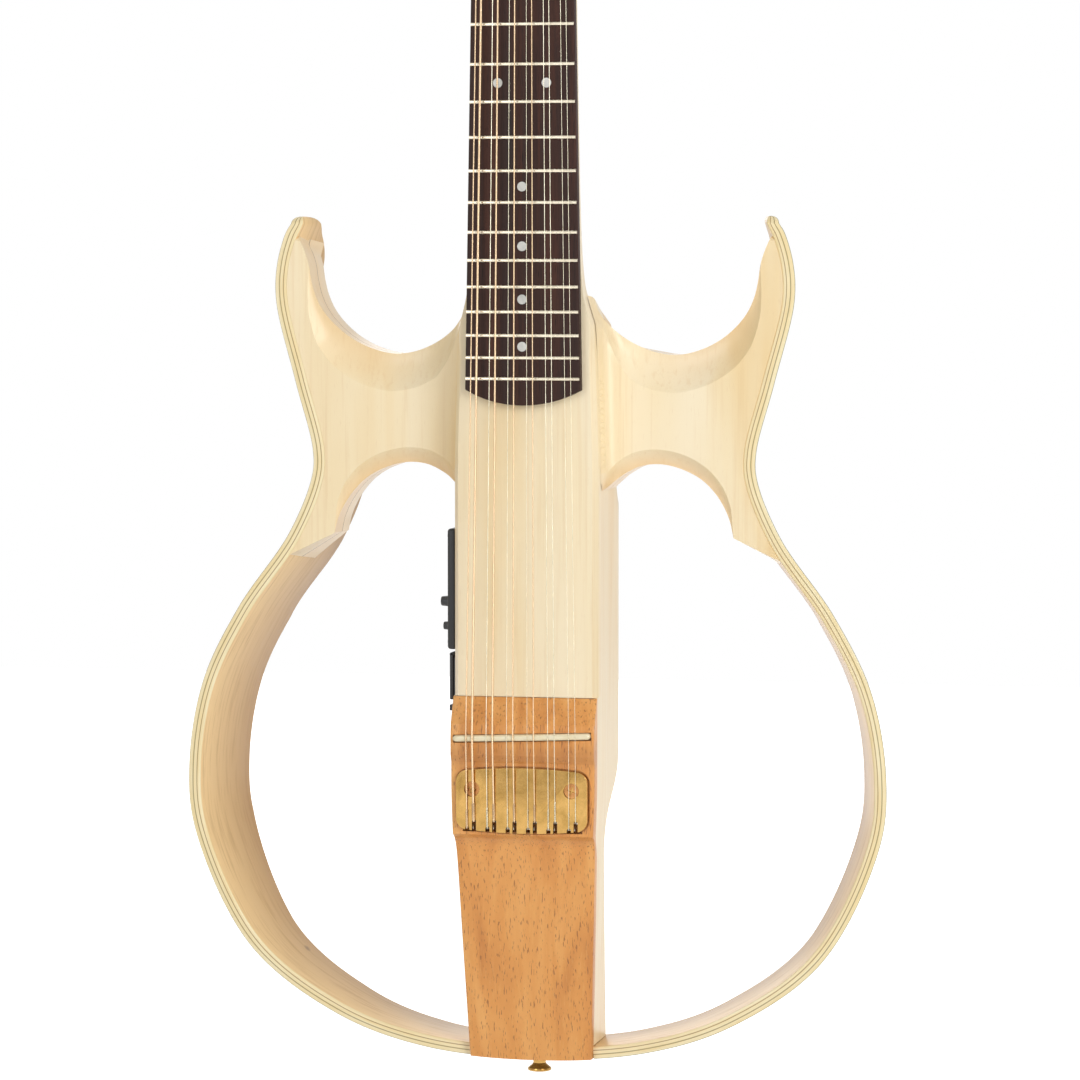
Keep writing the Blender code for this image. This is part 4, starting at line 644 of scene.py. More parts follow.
# The rim's outer edge from the tail round, then the wings' edges as (x, height, cove share)
RIM_OUTLINE = (
    (0.0, RIM_TAIL_Z), (0.060, RIM_TAIL_Z + 0.0050), (0.107, RIM_TAIL_Z + 0.0210),
    (0.154, -0.1154), (LOWER_BOUT_HALF - 0.0035, -0.0554), (LOWER_BOUT_HALF, -0.0204),
    (LOWER_BOUT_HALF - 0.0077, 0.0246), (0.1596, 0.0646), (0.1315, 0.1046),
    (WAIST_HALF + 0.0005, 0.1346), (WAIST_HALF, 0.1486), (0.1280, 0.1846),
    (UPPER_BOUT_HALF, 0.2266), (UPPER_BOUT_HALF - 0.0005, 0.2456), (0.1330, 0.2626),
    (0.1301, 0.2672),
)
CUTAWAY_EDGE = (
    (0.0336, 0.2285, 0.0), (0.0353, 0.2230, 0.05), (0.0380, 0.2178, 0.2), (0.0425, 0.2125, 0.42),
    (0.0490, 0.2073, 0.66), (0.0567, 0.2031, 0.85), (0.0655, 0.2001, 0.96), (0.0755, 0.1990, 1.0),
    (0.0880, 0.2018, 0.95), (0.0985, 0.2070, 0.85), (0.1065, 0.2134, 0.68),
    (0.1128, 0.2208, 0.42), (0.1168, 0.2288, 0.22), (0.1191, 0.2375, 0.08), (0.1203, 0.2455, 0.0),
    (0.1222, 0.2520, 0.0), (0.1245, 0.2575, 0.0), (0.1262, 0.2610, 0.0),
)
HOLE_EDGE = (
    (0.1066, 0.1045, 0.0), (0.1048, 0.1125, 0.15), (0.1020, 0.1190, 0.45), (0.0968, 0.1270, 0.72),
    (0.0890, 0.1345, 0.9), (0.0790, 0.1396, 1.0), (0.0680, 0.1422, 1.0), (0.0570, 0.1412, 1.0),
    (0.0470, 0.1362, 0.95), (0.0425, 0.1325, 0.88),
)


def beam_half(body_z):
    if body_z > BEAM_WIDTHS[0][0]:
        return board_half(SADDLE_Z + body_z)
    return eased(body_z, BEAM_WIDTHS)


def beam_back(body_z):
    top_z, top_depth = BEAM_BACKS[0]
    if body_z > top_z:
        share = (body_z - top_z) / (-SADDLE_Z - top_z)
        return top_depth + (NECK_DEPTH_AT_NUT - top_depth) * share
    return eased(body_z, BEAM_BACKS)


def string_x(index, spacing):
    course, second = divmod(index, 2)
    middle = (course - (COURSE_COUNT - 1) / 2) * spacing[0]
    return middle + (spacing[1] / 2 if second else -spacing[1] / 2)


def head_matrix():
    return Matrix.Translation((0, 0, NUT_LENGTH)) @ Matrix.Rotation(-HEAD_TILT, 4, "X")


def saddle_matrix():
    """The slanting saddle's own frame, with X along it."""
    centre = Matrix.Translation(place(0, 0, SADDLE_CENTRE_Z))
    return centre @ Matrix.Rotation(-SADDLE_SLANT, 4, "Y")


# Bent rim

@lru_cache
def rim_stations():
    """The rim's outer front edge with its inward normals, lean and depth at each station."""
    row = smooth_row(RIM_OUTLINE, RIM_STATIONS, mirrored_start=True)
    along = np.gradient(row, axis=0)
    along[0] = (1.0, 0.0)
    along /= np.linalg.norm(along, axis=1)[:, None]
    inward = np.column_stack([-along[:, 1], along[:, 0]])
    height = row[:, 1]
    to_tail = progress(height, RIM_SHALLOWS_Z, RIM_TAIL_Z)
    depth = RIM_DEPTH - (RIM_DEPTH - RIM_DEPTH_AT_TAIL) * to_tail
    depth -= (RIM_DEPTH - RIM_DEPTH_AT_HORN) * progress(height, *HORN_SHALLOWS_Z)
    tip = progress(height, HORN_TAPER_Z, HORN_TIP_Z)
    depth -= (depth - HORN_TIP_DEPTH) * (1 - np.sqrt(1 - tip ** 2))
    lean = RIM_DRAFT * depth * np.abs(inward[:, 0])
    level = progress(height, HORN_TAPER_Z, HORN_TOP_Z)[:, None] ** 3
    inward = inward * (1 - level) + np.array((-1.0, 0.0)) * level
    inward /= np.linalg.norm(inward, axis=1)[:, None]
    return row, inward, lean, depth


def rim_wall():
    """The rim's thickness measured square to its front edge."""
    return RIM_THICKNESS * sqrt(1 + RIM_DRAFT ** 2)


def make_rim(material, end_material):
    row, inward, lean, depth = rim_stations()
    places = np.arange(len(row))
    notch = BEAM_TAIL_HALF + 2 * GAP
    step = float(np.interp(notch, row[:, 0], places))
    half = []
    for i in sorted({float(i) for i in places[1:]} | {step - 0.004, step + 0.004}):
        spot = np.array([np.interp(i, places, row[:, k]) for k in range(2)])
        normal = np.array([np.interp(i, places, inward[:, k]) for k in range(2)])
        half.append((spot, normal / np.linalg.norm(normal), np.interp(i, places, lean),
                     np.interp(i, places, depth), i))
    rings, across, along = [], [], []
    wall = rim_wall()
    for side in (-1, 1):
        run = []
        for spot, normal, shift, deep, i in half:
            front = RIM_FRONT_Y
            if spot[0] < notch:
                front = BLOCK_TAIL_Y + BLOCK_TAIL_THICKNESS + GAP
            slope = shift / deep
            first = slope * (front - RIM_FRONT_Y)
            back = RIM_FRONT_Y + deep
            section = rounded_ring(((first, front), (first + wall, front), (shift + wall, back),
                                    (shift, back)), RIM_EDGE_ROUND)
            flat = [spot + normal * off for off, _ in section]
            ring = np.array([(side * x, y, z) for (x, z), (_, y) in zip(flat, section)])
            shares = [(off - slope * (y - RIM_FRONT_Y)) / wall for off, y in section]
            run.append((ring, shares, side * i / len(row)))
        tip, shares, mark = run[-1]
        middle = tip.mean(axis=0)
        middle[1] = tip[:, 1].min() * 0.8 + tip[:, 1].max() * 0.2
        for wide, deep, rise in HORN_TIP_STEPS:
            ring = middle + (tip - middle) * np.array((wide, deep, 1.0)) + np.array((0, 0, rise))
            run.append((ring, shares, mark))
        for ring, shares, mark in run[::-1] if side < 0 else run:
            rings.append([place(*p) for p in ring])
            across += shares
            along += [mark] * len(shares)
    mesh = loft("rim", rings, 40, {"across": across, "along": along})
    for face in mesh.polygons:
        body_z = face.center.z - SADDLE_Z
        turned_in = face.normal.x * face.center.x < 0 and abs(face.normal.x) > 0.5
        if body_z > HORN_TOP_Z or body_z > WING_END_Z - 0.001 and turned_in:
            face.material_index = 1
    piece("bent_rim", mesh, [material, end_material], stands_for=("rim",))


# Wings

def rim_at(heights):
    """The rim's upper run read at given heights: its front edge, inward normal and lean."""
    row, inward, lean, depth = rim_stations()
    rising = slice(int(np.argmax(row[:, 1] > NUB_Z)) - 2, None)
    known = row[rising, 1]
    found = []
    for height in heights:
        spot = np.array((np.interp(height, known, row[rising, 0]), height))
        normal = np.array([np.interp(height, known, inward[rising, k]) for k in range(2)])
        slope = np.interp(height, known, (lean / depth)[rising])
        found.append((spot, normal / np.linalg.norm(normal), slope))
    return found


def wing_front_y(x, body_z):
    """The wing's front surface: flat, with a hollow fillet that climbs to the beam."""
    reach = x - beam_half(body_z) - WING_GLUE
    if reach >= FILLET_RADIUS:
        return RIM_FRONT_Y + max(body_z - HORN_FACET_Z, 0.0) * HORN_FACET_SLOPE
    reach = max(reach, 0.0)
    climb = sqrt(FILLET_RADIUS ** 2 - (FILLET_RADIUS - reach) ** 2)
    return FILLET_TOP_Y + (RIM_FRONT_Y - FILLET_TOP_Y) * climb / FILLET_RADIUS


def carved_edge(edge, corner, cove, toward, count):
    """A wing edge as (point, inward normal, cove width, cove fall), eased square at the beam."""
    points = [*edge, corner]
    row = smooth_row([p[:2] for p in points], count)
    lengths = np.linspace(0, 1, count)
    given = np.array(points)
    known = np.r_[0.0, np.cumsum(np.linalg.norm(np.diff(given[:, :2], axis=0), axis=1))]
    shares = np.interp(lengths, known / known[-1], given[:, 2])
    along = np.gradient(row, axis=0)
    normals = np.column_stack([-along[:, 1], along[:, 0]])
    normals /= np.linalg.norm(normals, axis=1)[:, None]
    normals *= -toward
    result = []
    for point, normal, share in zip(row, normals, shares):
        near = float(progress(point[0], EDGE_SQUARE_FROM_X, BEAM_HALF)) ** 0.7
        normal = normal * (1 - near) + np.array((0.0, toward)) * near
        result.append((point, normal / np.linalg.norm(normal), cove[0] * share,
                       max(cove[1] * share, RIDGE_STEP)))
    return result


def wing_outline():
    """The wing's outline from the beam round: (point, inward normal, cove width, fall, kind)."""
    low = (beam_half(WING_LOW_Z) + WING_GLUE, WING_LOW_Z, 0.75)
    top = (beam_half(WING_TOP_Z) + WING_GLUE, WING_TOP_Z, 0.0)
    hole = carved_edge(HOLE_EDGE, low, HOLE_COVE, 1, 64)[::-1]
    cutaway = carved_edge(CUTAWAY_EDGE[::-1], top, CUTAWAY_COVE, -1, 90)
    rows = [(*entry, "hole") for entry in hole]
    for spot, normal, slope in rim_at(np.linspace(NUB_Z, WING_END_Z, 60)):
        rows.append((spot, normal, slope, RIDGE_STEP, "rim"))
    return rows + [(*entry, "cutaway") for entry in cutaway]


def wing_ring(side, share, y=None, back_inset=0.0, beam_points=26):
    """One ring of a wing; share 0 is the front ridge and 1 the edge, and y overrides the front."""
    wall = rim_wall() + WING_GLUE
    flat = []
    for point, normal, width, fall, kind in wing_outline():
        depth = RIM_FRONT_Y if y is None else y
        deep = max(depth - RIM_FRONT_Y, 0.0) / (2 * WING_LAYER)
        if kind == "rim":
            point = point + normal * (wall + width * (depth - RIM_FRONT_Y))
        else:
            point = point + normal * (width * (1 - share) + back_inset)
            if kind == "cutaway" and point[0] < WING_FALL_WITHIN_X:
                run = WING_FALL_WITHIN_X - beam_half(WING_TOP_Z)
                near = (WING_FALL_WITHIN_X - point[0]) / run
                point = point - np.array((0.0, WING_BACK_FALL * deep * min(near, 1.0) ** 2))
        rise = max(point[1] - HORN_TAPER_Z, 0.0)
        if rise > 0 or kind == "cutaway" and point[1] > HORN_CLIP_Z:
            lowered = point[1] - rise * HORN_BACK_DROP * deep
            (spot, rim_normal, slope), = rim_at([lowered])
            inner = spot[0] - (wall + slope * (depth - RIM_FRONT_Y)) / abs(rim_normal[0])
            edge = inner if kind == "rim" else min(point[0], inner - HORN_LEAST_WIDTH)
            point = np.array((edge, lowered))
        flat.append((max(point[0], beam_half(point[1]) + WING_GLUE), point[1], fall))
    for z in np.linspace(flat[-1][1], flat[0][1], beam_points + 2)[1:-1]:
        flat.append((beam_half(z) + WING_GLUE, z, RIDGE_STEP))
    ring = []
    for x, z, fall in flat:
        depth = wing_front_y(x, z) + fall * sin(share * pi / 2) if y is None else y
        ring.append((side * x, depth, z))
    return ring


def inside(points, outline):
    """Which points are inside a closed 2-D outline, and clear of its edge."""
    a, b = outline, np.roll(outline, -1, axis=0)
    kept = []
    for p in points:
        crossing = (a[:, 1] > p[1]) != (b[:, 1] > p[1])
        rise = np.where(crossing, b[:, 1] - a[:, 1], 1)
        reach = a[:, 0] + (p[1] - a[:, 1]) / rise * (b[:, 0] - a[:, 0])
        odd = np.count_nonzero(crossing & (p[0] < reach)) % 2
        if odd and np.min(np.hypot(*(outline - p).T)) > WING_MESH_STEP * 0.35:
            kept.append(p)
    return kept


def make_wing_front(side_name, side, material):
    shares = (0.0, 0.1, 0.22, 0.36, 0.5, 0.64, 0.78, 0.9, 1.0)
    rings = [wing_ring(side, share) for share in shares]
    seam = RIM_FRONT_Y + WING_LAYER - SEAM_GAP / 2
    rings += [wing_ring(side, 1.0, y) for y in (seam - 0.00025, seam)]
    count = len(rings[0])
    kinds = [entry[4] for entry in wing_outline()]
    kinds += ["beam"] * (count - len(kinds))
    # Painted tan shade in the coves: heavier in the hole, lighter near the beam where the coves
    # catch the light
    cove = []
    for ring, share in zip(rings, (*shares, 1.0, 1.0)):
        for (x, _, _), kind in zip(ring, kinds):
            outward = float(np.clip((abs(x) - 0.05) / 0.04, 0.1, 1))
            shade_weight = {"hole": 1.5, "cutaway": outward}.get(kind, 0)
            cove.append(share * shade_weight)
    verts = [place(*p) for ring in rings for p in ring]
    faces = skin_faces(len(rings), count, capped=False)
    faces.append(tuple(range(len(verts) - count, len(verts))))

    ridge = np.array([(side * x, z) for x, _, z in rings[0]])
    fine = [0.0004, 0.001, 0.0018, 0.0028, 0.004, 0.0055, 0.0072, 0.009]
    fine += list(np.arange(FILLET_RADIUS + WING_MESH_STEP, UPPER_BOUT_HALF, WING_MESH_STEP))
    grid = [(beam_half(z) + WING_GLUE + x, z)
            for z in np.arange(NUB_Z, WING_END_Z, WING_MESH_STEP) for x in fine]
    loose = inside([np.array(p) for p in grid], ridge)
    flat = [Vector(p) for p in (*ridge, *loose)]
    made = delaunay_2d_cdt(flat, [], [list(range(count))], 1, 0.000001)
    number = {}
    for i, (spot, sources) in enumerate(zip(made[0], made[3])):
        own = [k for k in sources if k < count]
        if own:
            number[i] = own[0]
        else:
            number[i] = len(verts)
            verts.append(place(side * spot.x, wing_front_y(spot.x, spot.y), spot.y))
            cove.append(float(progress(spot.y, HORN_FACET_Z, HORN_FACET_Z + 0.0008)))
    faces += [tuple(number[k] for k in face) for face in made[2]]
    mesh = make_mesh("wing_front", verts, faces, 20, {"cove": cove})
    name = f"wing_{side_name}_front"
    piece(f"carved_{name}", mesh, material, stands_for=(name,))


def make_wing_back(side_name, side, material):
    seam = RIM_FRONT_Y + WING_LAYER + SEAM_GAP / 2
    back = RIM_FRONT_Y + 2 * WING_LAYER
    steps = [(seam, 0.0), (seam + 0.00025, 0.0)]
    for angle in np.linspace(0, 90, 6):
        turn = radians(angle)
        steps.append((back - WING_BACK_ROUND * (1 - sin(turn)), WING_BACK_ROUND * (1 - cos(turn))))
    rings = [[place(*p) for p in wing_ring(side, 1.0, y, inset)] for y, inset in steps]
    # The back layer takes the full tan of the painted cove shade on every face
    mesh = loft("wing_back", rings, 40, {"cove": [1.0] * sum(len(ring) for ring in rings)})
    name = f"wing_{side_name}_back"
    piece(f"carved_{name}", mesh, material, stands_for=(name,))


# Neck, centre beam and headstock in one piece of maple

def half_section(half, front, back, boxy, edge_width, edge_depth, rounding, arc_back=None):
    """Half a neck section from the front's middle round to the back's middle."""
    arc_back = back if arc_back is None else arc_back
    corner = [(half - rounding * (1 - cos(radians(a))), back - rounding * (1 - sin(radians(a))))
              for a in np.linspace(0, 90, 7)]
    square = [(half * f, front) for f in (0, 0.35, 0.7)] + [(half - edge_width, front)]
    square += [(half - edge_width * (1 - f), front + edge_depth * f) for f in (0.1, 0.5, 0.9, 1.0)]
    square += [(half, front + edge_depth + (back - rounding - front - edge_depth) * f)
               for f in (0.12, 0.4, 0.7, 0.9)]
    square += corner + [((half - rounding) * f, back) for f in (0.75, 0.5, 0.25, 0)]
    angles = [0, 0.6, 1.5, 4, 8, 14, 20, 26, 32, 38, 44, 48, 52, 56, 60, 64, 68, 72, 77, 82, 90]
    arc = [(half * f, front) for f in (0, 0.4, 0.8)]
    spare = len(square) - len(arc)
    for k in range(spare):
        turn = radians(np.interp(k, np.linspace(0, spare - 1, len(angles)), angles))
        arc.append((half * abs(cos(turn)) ** 0.85, front + (arc_back - front) * sin(turn) ** 0.85))
    arc[-1] = (0.0, arc_back)
    return [(ax + (sx - ax) * boxy, ay + (sy - ay) * boxy)
            for (sx, sy), (ax, ay) in zip(square, arc)]


def full_section(half):
    return half + [(-x, y) for x, y in half[-2:0:-1]]


def head_half(z):
    """Half the headstock's width at its own height, with rounded top corners."""
    half = eased(z, HEAD_WIDTHS)
    past = max(z - (HEAD_LENGTH - HEAD_CORNER), 0.0)
    return half - HEAD_CORNER + sqrt(max(HEAD_CORNER ** 2 - past ** 2, 0.0))


def beam_front(body_z):
    return 0.0 if body_z > BLOCK_TOP_Z else straight(body_z, BEAM_FRONTS)


def make_neck_beam(material):
    rings = []
    for z in [*(HEAD_LENGTH - HEAD_CORNER * (1 - np.cos(np.linspace(0, pi / 2, 8)))),
              *np.linspace(0.19, 0.0, 54)]:
        boxy = float(progress(z, 0, 0.029))
        half = half_section(head_half(z), 0.0, HEAD_THICKNESS, boxy, HEAD_EDGE * boxy + 0.0002,
                            HEAD_EDGE, HEAD_BACK_ROUND, NECK_DEPTH_AT_NUT / cos(HEAD_TILT))
        rings.append([head_matrix() @ Vector((x, y, z)) for x, y in full_section(half)])
    tail = RIM_TAIL_Z + RIM_THICKNESS + 0.0022
    top = -SADDLE_Z - NECK_STRAIGHT
    joins = [BLOCK_TOP_Z + 0.00005, BLOCK_TOP_Z - 0.0001, BLOCK_COVE_TOP_Z, BLOCK_COVE_END_Z]
    for body_z in sorted({*np.linspace(top, 0.32, 50), *np.linspace(0.32, tail, 170), *joins},
                         reverse=True):
        boxy = float(progress(body_z, BOXY_FROM_Z, BOXY_BY_Z)) ** 1.3
        edge = (BEAM_EDGE_WIDTH, BEAM_EDGE_DEPTH) if body_z >= BLOCK_TOP_Z else (GAP, GAP)
        half = half_section(beam_half(body_z), beam_front(body_z), beam_back(body_z), boxy, *edge,
                            BEAM_BACK_ROUND)
        rings.append([place(x, y, body_z) for x, y in full_section(half)])
    mesh = loft("neck_beam", rings, 35)

    outside, within = -BEAM_HALF - 0.004, -CHAMBER_HALF + 0.001
    reach, inset, ledge = 0.001, PANEL_WINDOW_INSET, COVER_LEDGE
    half_y = BATTERY_SIZE[1] / 2 + BATTERY_BOX_WALL + 2 * GAP
    half_z = BATTERY_SIZE[2] / 2 + BATTERY_BOX_WALL + 2 * GAP
    chamber = soft_box("chamber", place(-CHAMBER_HALF, CHAMBER_FRONT_Y, CHAMBER_LOW_Z),
                       place(CHAMBER_HALF, BEAM_DEPTH + reach, CHAMBER_TOP_Z))
    rebate_y = BEAM_DEPTH - COVER_THICKNESS - GAP
    rebate = soft_box("rebate", place(-CHAMBER_HALF - ledge, rebate_y, CHAMBER_LOW_Z - ledge),
                      place(CHAMBER_HALF + ledge, BEAM_DEPTH + reach, CHAMBER_TOP_Z + ledge))
    panel_window = soft_box("panel_window", place(outside, PANEL_Y[0] + inset, PANEL_Z[0] + inset),
                            place(within, PANEL_Y[1] - inset, PANEL_Z[1] - inset))
    battery_window = soft_box("battery_window",
                              place(outside, BATTERY_Y - half_y, BATTERY_Z - half_z),
                              place(within, BATTERY_Y + half_y, BATTERY_Z + half_z))
    jack_hole = rod("jack_hole", place(outside, JACK_Y, JACK_Z), place(within, JACK_Y, JACK_Z),
                    JACK_BODY_RADIUS + GAP)
    for tool in (chamber, rebate, panel_window, battery_window, jack_hole):
        mesh = carve(mesh, tool, 35)
    bores = [rod("bore", (x, -0.02, z), (x, 0.03, z), POST_BORE, 20) for _, x, z in tuner_places()]
    bores = merged("bores", bores)
    bores.transform(head_matrix())
    mesh = carve(mesh, bores, 35)
    piece("neck_and_beam", mesh, material, stands_for=("neck_beam",))


# Bridge and tail block

def tail_curve_z(x):
    """The rim's outer front edge near the tail, where the block ends flush with it."""
    row = rim_stations()[0]
    return float(np.interp(abs(x), row[:60, 0], row[:60, 1]))


def block_ring(body_z, at_tail=False):
    half = beam_half(body_z)
    front = (straight if body_z > BLOCK_COVE_TOP_Z else eased)(body_z, BLOCK_FRONTS)
    back = beam_front(body_z) - GAP if body_z < BLOCK_TOP_Z - GAP else BLOCK_INLAY - GAP
    ramp = float(progress(body_z, BLOCK_TOP_Z, BLOCK_RAMP_END_Z))
    edge = BEAM_EDGE_WIDTH + (BLOCK_EDGE - BEAM_EDGE_WIDTH) * ramp
    fall = BLOCK_EDGE_FALL_AT_TOP + (BLOCK_EDGE - BLOCK_EDGE_FALL_AT_TOP) * ramp
    right = [((half - edge) * f, front) for f in np.linspace(0, 1, 8)]
    right += [(half - edge * (1 - sin(t)), front + fall * (1 - cos(t)))
              for t in radians_to(30, 60, 90)]
    right += [(half, back), ((half - edge) * 0.5, back)]
    points = right + [(0.0, back)] + [(-x, y) for x, y in right[:0:-1]]
    if at_tail:
        return [place(x, y, tail_curve_z(x) + GAP) for x, y in points]
    return [place(x, y, body_z) for x, y in points]


def make_bridge_block(material):
    heights = {z for z, _ in BLOCK_FRONTS[:-1]} | set(np.linspace(BLOCK_TOP_Z - GAP, -0.165, 90))
    rings = [block_ring(z) for z in sorted(heights, reverse=True)]
    mesh = loft("bridge_block", rings + [block_ring(RIM_TAIL_Z, at_tail=True)], 18)
    half, wide = SADDLE_HALF_LENGTH + GAP, SADDLE_THICKNESS / 2 + GAP
    slot = soft_box("slot", (-half, -0.02, -wide - SLOT_EXTRA), (half, SLOT_FLOOR_Y, wide),
                    matrix=saddle_matrix())
    low, top = BALL_ROWS_Z
    reach = BALL_RADIUS + GAP
    pocket = soft_box("pocket", place(-BALL_POCKET_HALF, -0.02, low - reach),
                      place(BALL_POCKET_HALF, BALL_POCKET_FLOOR_Y, top + reach))
    bed_y = (PLATE_BACK_Y - 0.002, PLATE_BACK_Y + PLATE_BED_DEPTH)
    around = plate_outline(-PLATE_BED_MARGIN)
    bed = loft("bed", [[place(x, y, PLATE_CENTRE_Z + z) for x, z in around] for y in bed_y])
    for tool in (slot, pocket, bed):
        mesh = carve(mesh, tool, 18)
    piece("bridge_and_tail_block", mesh, material, stands_for=("bridge_block",))


def make_saddle(material):
    rings = []
    half_thick = SADDLE_THICKNESS / 2
    for share in np.sin(np.linspace(-pi / 2, pi / 2, 61)):
        x = SADDLE_HALF_LENGTH * share
        end = min((SADDLE_HALF_LENGTH - abs(x)) / half_thick, 1)
        thick = half_thick * (sqrt(1 - (1 - end) ** 2) * 0.75 + 0.25)
        top = SADDLE_TOP_Y + sag(x) + 0.0006 * (1 - end)
        crown = [(x, top + 0.0011 * (1 - cos(t)), thick * sin(t))
                 for t in radians_to(-90, -60, -35, -12, 12, 35, 60, 90)]
        foot = SLOT_FLOOR_Y - 0.0016
        rings.append([(x, foot, -thick), *crown, (x, foot, thick)])
    mesh = loft("saddle", rings, 40)
    mesh.transform(saddle_matrix())
    piece("saddle_bar", mesh, material, stands_for=("saddle",))


# Tailpiece plate

def plate_outline(inset=0.0):
    """The plate seen from the front: a wide rectangle with arched long sides."""
    half, corner = PLATE_HALF_WIDTH - inset, PLATE_CORNER - inset
    tall, end_tall = PLATE_HALF_HEIGHT - inset, PLATE_END_HALF_HEIGHT - inset
    quarter = []
    for share in np.linspace(0, 0.95, 10):
        x = (half - corner) * share
        quarter.append((x, tall - (tall - end_tall) * share ** 2))
    for turn in np.radians(np.linspace(90, 0, 13)):
        quarter.append((half - corner + corner * cos(turn), end_tall - corner + corner * sin(turn)))
    right = quarter + [(x, -z) for x, z in quarter[::-1]]
    return right + [(-x, z) for x, z in right[::-1] if x > 0]


def make_tailpiece(plate_material, head_material):
    rings = []
    front, sunk = PLATE_FRONT_Y, PLATE_FRONT_Y + PLATE_SINK_DEPTH
    for y, inset in ((PLATE_BACK_Y, 0.0), (front + 0.0006, 0.0), (front + 0.00025, 0.0001),
                     (front + 0.00005, 0.00035), (front, 0.0007)):
        rings.append([place(x, y, PLATE_CENTRE_Z + z) for x, z in plate_outline(inset)])
    mesh = loft("plate", rings, 30)
    slots = []
    half = STRING_SLOT_WIDTH / 2
    for index in range(2 * COURSE_COUNT):
        x = string_x(index, PLATE_SPACING)
        top = BALL_ROWS_Z[index % 2] + 0.0011
        slot = soft_box("slot", place(x - half, front - 0.01, PLATE_CENTRE_Z - 0.03),
                        place(x + half, PLATE_BACK_Y + 0.01, top - half))
        slot_end = rod("slot_end", place(x, front - 0.0099, top - half),
                       place(x, PLATE_BACK_Y + 0.0099, top - half), half, 20)
        slots.append(carve(slot, slot_end, 30, "UNION"))
    mesh = carve(mesh, merged("slots", slots), 30)
    sinks = []
    for side in (-1, 1):
        at = place(side * PLATE_SCREW[0], 0, PLATE_SCREW[1])
        sinks.append(rod("sink", at + Vector((0, -0.03, 0)), at + Vector((0, sunk, 0)),
                         PLATE_SCREW_HEAD + GAP, 32))
    mesh = carve(mesh, merged("sinks", sinks), 30)
    piece("tailpiece_plate_gold", mesh, plate_material, stands_for=("tailpiece_plate",))
    spots = [place(side * PLATE_SCREW[0], sunk, PLATE_SCREW[1]) for side in (-1, 1)]
    add_screws("tailpiece_screws", head_material, spots, PLATE_SCREW_SIZES, turn=0.35)


# Geometry trees for what repeats

def dress(node, links, inputs, settings):
    """Set a node's options, then feed its inputs from plain values or other sockets."""
    for label, value in settings.items():
        setattr(node, label, value)
    for label, value in (inputs or {}).items():
        if isinstance(value, bpy.types.NodeSocket):
            links.new(value, node.inputs[label])
        else:
            node.inputs[label].default_value = value
    return node


class Plan:
    """A geometry tree with named sizes, built node by node."""

    def __init__(self, name, sizes):
        self.tree = bpy.data.node_groups.new(name, "GeometryNodeTree")
        self.tree.interface.new_socket("Geometry", in_out="INPUT", socket_type="NodeSocketGeometry")
        for label, value in sizes.items():
            kind = "NodeSocketInt" if isinstance(value, int) else "NodeSocketFloat"
            socket = self.tree.interface.new_socket(label, in_out="INPUT", socket_type=kind)
            socket.default_value = value
        self.tree.interface.new_socket("Geometry", in_out="OUTPUT",
                                       socket_type="NodeSocketGeometry")
        self.given = self.tree.nodes.new("NodeGroupInput").outputs

    def add(self, kind, inputs=None, **settings):
        node = self.tree.nodes.new(kind if kind.startswith("Shader") else "GeometryNode" + kind)
        return dress(node, self.tree.links, inputs, settings).outputs[0]

    def maths(self, operation, first, second=0.0):
        return self.add("ShaderNodeMath", {0: first, 1: second}, operation=operation)

    def vector(self, x=0.0, y=0.0, z=0.0):
        return self.add("ShaderNodeCombineXYZ", {"X": x, "Y": y, "Z": z})

    def finish(self, geometry, material):
        whole = self.add("RealizeInstances", {"Geometry": geometry})
        dressed = self.add("SetMaterial", {"Geometry": whole, "Material": material})
        exit_node = self.tree.nodes.new("NodeGroupOutput")
        self.tree.links.new(dressed, exit_node.inputs[0])
        return self.tree


def grow(name, tree, points, values, sharp=30):
    """Run a geometry tree on some points and bake the result into a plain mesh."""
    seed = bpy.data.meshes.new(name)
    seed.from_pydata([tuple(p) for p in points], [], [])
    host = link(bpy.data.objects.new(name, seed))
    modifier = host.modifiers.new(name, "NODES")
    modifier.node_group = tree
    for socket in tree.interface.items_tree:
        if socket.in_out == "INPUT" and socket.name in values:
            modifier[socket.identifier] = values[socket.name]
    depsgraph = bpy.context.evaluated_depsgraph_get()
    baked = bpy.data.meshes.new_from_object(host.evaluated_get(depsgraph))
    bpy.data.objects.remove(host, do_unlink=True)
    return settle(baked, sharp)


def on_each_point(plan, shape, facing):
    """Stand a shape on every point, turned to face the player's side or the back."""
    return plan.add("InstanceOnPoints", {"Points": plan.given["Geometry"], "Instance": shape,
                                         "Rotation": facing})


def screw_plan(material):
    """Round screw heads with a cross cut in them."""
    plan = Plan("screw_heads", {"Head Radius": 0.003, "Head Height": 0.001, "Slot Width": 0.0006,
                                "Turn": 0.3, "Facing": pi / 2})
    given = plan.given
    head = plan.add("MeshCylinder", {"Vertices": 32, "Radius": given["Head Radius"],
                                     "Depth": given["Head Height"]})
    reach = plan.maths("MULTIPLY", given["Head Radius"], 1.15)
    for size in ((reach, given["Slot Width"]), (given["Slot Width"], reach)):
        bar = plan.add("MeshCube", {"Size": plan.vector(size[0], size[1], given["Head Height"])})
        up = plan.vector(z=plan.maths("MULTIPLY", given["Head Height"], 0.45))
        bar = plan.add("Transform", {"Geometry": bar, "Translation": up})
        head = plan.add("MeshBoolean", {"Mesh 1": head, "Mesh 2": bar}, operation="DIFFERENCE",
                        solver="EXACT")
    facing = plan.vector(given["Facing"], given["Turn"], 0.0)
    return plan.finish(on_each_point(plan, head, facing), material)


def add_screws(name, material, spots, sizes, matrix=None, facing=pi / 2, turn=0.3):
    """Screw heads at the given spots as one piece; sizes are head radius, height and slot width."""
    values = dict(zip(("Head Radius", "Head Height", "Slot Width"), sizes), Facing=facing, Turn=turn)
    mesh = grow(f"{name}_heads", screw_plan(material), spots, values)
    if matrix:
        mesh.transform(matrix)
    piece(name, mesh, material)


